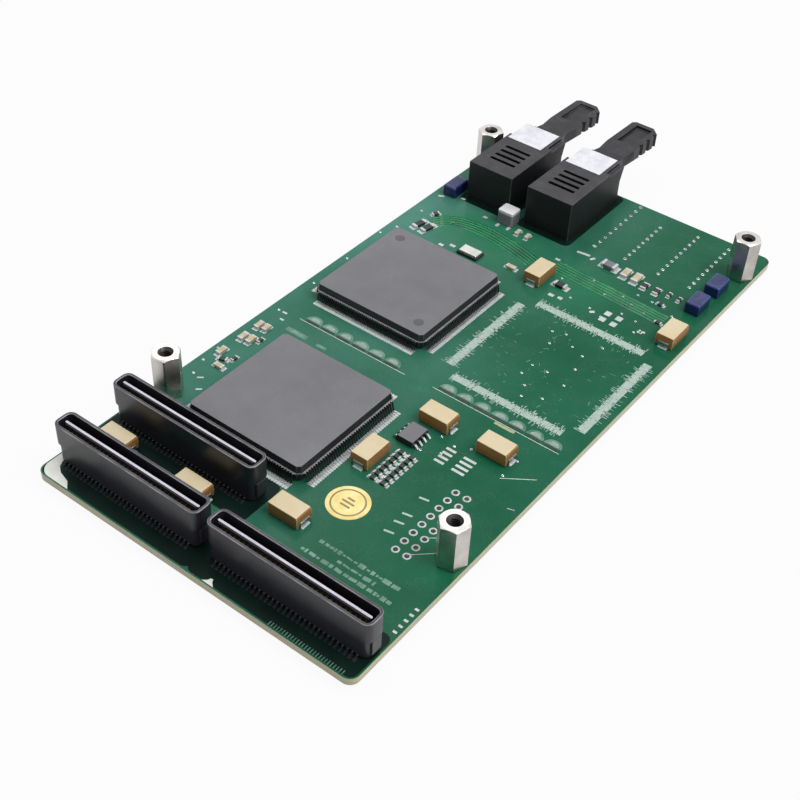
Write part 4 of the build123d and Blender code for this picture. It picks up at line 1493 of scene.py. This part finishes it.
def dome_row(name, x, inset, count):
    """A row of half discs, each with a dark line along its flat side and a bright rim."""
    outline = [(px, DOME_FLATTEN * py) for px, py in circle(DOME_RADIUS, 28) if py > -0.01]
    inputs = {
        "Count": count,
        "Pitch": DOME_PITCH * MM,
        "Reach": 0.0,
        "Sides": 1,
        "Place": spot(x, inset),
        "Turn": 0.0,
    }
    grow(name, ROWS, plate(outline, FILM), inputs, "dome", "label")
    inner = [(0.62 * px, 0.62 * py + 0.25) for px, py in outline]
    inputs["Place"] = spot(x, inset, FILM)
    grow(name + "_middles", ROWS, plate(inner, 0.3 * FILM), inputs, "dome_middle", "label")
    inputs["Place"] = spot(x, inset - 0.45)
    grow(name + "_feet", ROWS, plate(rounded(3.5, 0.6, 0.2), FILM), inputs, "hole", "label")


for name, sizes in DOME_ROWS.items():
    dome_row(name, *sizes)


# Bare corner and notch at the rear edge, painted bright as a reflection

BOARD_CORNER = 2.6
NOTCH_HEIGHT = 0.04


def bare_corner():
    """Tinned copper left free of mask at the rear left corner and between the connectors, painted near white as a
    reflection.
    """
    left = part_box("circuit_board")[0][0] / MM + 0.3
    angles = [math.radians(10 * step) for step in range(10)]
    corner = [(left + BOARD_CORNER * (1 - math.cos(t)), 0.3 + BOARD_CORNER * (1 - math.sin(t))) for t in angles]
    outline = [(-29.0, 0.3), (-30.5, 1.7), (-33.0, 2.4), (-34.4, 3.4), (-35.2, 5.2), (left, 6.0)] + corner
    middle = Vector((sum(x for x, _ in outline), sum(y for _, y in outline))) / len(outline)
    shape = plate([(x - middle.x, y - middle.y) for x, y in outline], FILM)
    add_piece("bare_corner", moved(shape, spot(*middle)), "white_edge")
    notch = plate([(-1.3, -0.6), (1.3, -0.6), (0.5, 0.1), (0.2, 0.7), (-0.3, 0.6), (-0.5, 0.0)], NOTCH_HEIGHT)
    add_piece("bare_notch", moved(notch, spot(5.4, 0.9)), "white_edge")


bare_corner()


# Underside: solder joints, the rings of the plated holes, small capacitors below the packages

PIN_CONE = [(0.75, 0.0), (0.45, 0.18), (0.34, 0.55), (0.05, 0.6)]
UNDER_PITCH = 3.2


def underside():
    """Everything that is made on the upper face and then turned over to the lower one."""
    cone = skin([[(x, y, height) for x, y in circle(radius, 14)] for radius, height in PIN_CONE])
    joints = []
    for node in nodes:
        if node.endswith("_transceiver_pins"):
            low, high = (Vector(corner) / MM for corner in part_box(node))
            x, inset = where(node)
            reach_x, reach_y = (high.x - low.x) / 2 - 0.25, (high.y - low.y) / 2 - 0.25
            for side in (-1, 1):
                joints += [(x + side * reach_x, inset + reach_y * (row / 2 - 1), 0, 1, 1, 1) for row in range(5)]
    turned_over(at_places("pin_joints", cone, joints, "solder", "pin"))
    chips = []
    for name in PACKAGE_LEADS:
        x, inset = where(name + "_body")
        for column in range(5):
            for row in range(5):
                if (column + row) % 2 == 0:
                    place = (x + UNDER_PITCH * (column - 2), inset + UNDER_PITCH * (row - 2))
                    chips.append((*place, 90 * (column % 2), 1.6, 0.8, 0.8))
    turned_over(at_places("under_chip_bodies", CHIP_BODY, chips, "chip_beige", "ceramic"))
    turned_over(at_places("under_chip_ends", CHIP_ENDS, chips, "solder", "terminal"))
    turned_over(at_places("under_chip_pads", CHIP_PADS, chips, "bright_pad", "terminal"))
    header_holes("under_")
    via_columns("under_")


underside()


# Round sticker with a plain pattern

STICKER_PLACE = (11.7, 29.9)
STICKER_RADIUS = 4.2
STICKER_HEIGHT = 0.1


def round_sticker():
    """Pale yellow film disc with a thin ring and three short bars."""
    film = plate(circle(STICKER_RADIUS, 48), STICKER_HEIGHT, 0.05)
    add_piece("round_sticker", moved(film, spot(*STICKER_PLACE)), "sticker")
    x, inset = STICKER_PLACE
    print_place = spot(x, inset, STICKER_HEIGHT)
    shapes = [moved(ring(3.4, 3.05, 0.03, 48), print_place)]
    for number, length in enumerate((1.6, 2.8, 2.2)):
        bar = plate(rounded(length, 0.42, 0.1, steps=1), 0.03, 0.02)
        shapes.append(moved(bar, spot(x, inset + 0.95 * (1 - number), STICKER_HEIGHT), 0.0))
    add_piece("round_sticker_print", joined(*shapes), "sticker_print")


round_sticker()


# Camera, light and floor

CAMERA_PLACE = (115.585, -185.055, 177.688)
CAMERA_AZIMUTH = 35.664
CAMERA_ELEVATION = 41.823
CAMERA_ROLL = 3.069
CAMERA_LENS = 60.44


def add_camera():
    """The camera, at the photograph's viewing angle."""
    data = bpy.data.cameras.new("camera")
    data.lens = CAMERA_LENS
    data.sensor_width = 36
    data.clip_start = 0.005
    camera = bpy.data.objects.new("camera", data)
    turn = Matrix.Rotation(math.radians(CAMERA_AZIMUTH), 4, "Z")
    tilt = Matrix.Rotation(math.radians(90 - CAMERA_ELEVATION), 4, "X")
    roll = Matrix.Rotation(math.radians(CAMERA_ROLL), 4, "Z")
    camera.matrix_world = Matrix.Translation(Vector(CAMERA_PLACE) * MM) @ turn @ tilt @ roll
    bpy.context.collection.objects.link(camera)
    bpy.context.scene.camera = camera


def add_lamp(name, place, power, size):
    """A square soft box aimed at the middle of the card."""
    data = bpy.data.lights.new(name, "AREA")
    data.energy = power
    data.size = size
    lamp = bpy.data.objects.new(name, data)
    lamp.location = place
    lamp.rotation_euler = (Vector((0, 0, 0.005)) - Vector(place)).to_track_quat("-Z", "Y").to_euler()
    bpy.context.collection.objects.link(lamp)


def background_rays(tree):
    """1 for the rays that show the background: camera, glossy and transmission rays."""
    path = add_node(tree, "ShaderNodeLightPath").outputs
    seen = calculate(tree, "MAXIMUM", path["Is Camera Ray"], path["Is Glossy Ray"])
    return calculate(tree, "MAXIMUM", seen, path["Is Transmission Ray"])


def set_world(ambient):
    """White to look at, softer as a light."""
    world = bpy.data.worlds.new("studio")
    world.use_nodes = True
    tree = world.node_tree
    background = tree.nodes["Background"]
    background.inputs["Color"].default_value = (1.0, 1.0, 1.0, 1.0)
    direction = add_node(tree, "ShaderNodeTexCoord").outputs["Generated"]
    upward = add_node(tree, "ShaderNodeSeparateXYZ", {0: direction}).outputs["Z"]
    sky = spread(tree, upward, 0.0, 0.9, 0.25 * ambient, ambient)
    strength = calculate(tree, "MAXIMUM", background_rays(tree), sky)
    tree.links.new(strength, background.inputs["Strength"])
    bpy.context.scene.world = world


def add_floor():
    """A pale floor that looks white and keeps a soft share of the object's shadow."""
    mesh = bpy.data.meshes.new("floor")
    reach = 4.0
    mesh.from_pydata([(-reach, -reach, 0), (reach, -reach, 0), (reach, reach, 0), (-reach, reach, 0)], [], [(0, 1, 2, 3)])
    floor = bpy.data.objects.new("floor", mesh)
    bpy.context.collection.objects.link(floor)
    material = bpy.data.materials.new("floor_paper")
    material.use_nodes = True
    tree = material.node_tree
    tree.nodes.clear()
    paper = add_node(tree, "ShaderNodeBsdfDiffuse", {"Color": (0.5, 0.5, 0.5, 1.0)})
    glow = add_node(tree, "ShaderNodeEmission", {"Color": (1.0, 1.0, 1.0, 1.0), "Strength": 1.0})
    share = calculate(tree, "MULTIPLY", background_rays(tree), 0.94)
    mix = add_node(tree, "ShaderNodeMixShader", {0: share, 1: paper.outputs[0], 2: glow.outputs[0]})
    add_node(tree, "ShaderNodeOutputMaterial", {"Surface": mix.outputs[0]})
    mesh.materials.append(material)
    floor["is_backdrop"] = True


add_camera()
set_world(0.75)
add_lamp("key_light", (0.5, 0.15, 0.8), 6.0, 0.5)
add_lamp("fill_light", (-0.4, 0.2, 0.85), 2.0, 0.6)
add_floor()
bpy.context.scene.view_settings.view_transform = "Standard"

sizes = {"cad": [list(c) for c in cad_box], "visual": [list(c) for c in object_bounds()]}
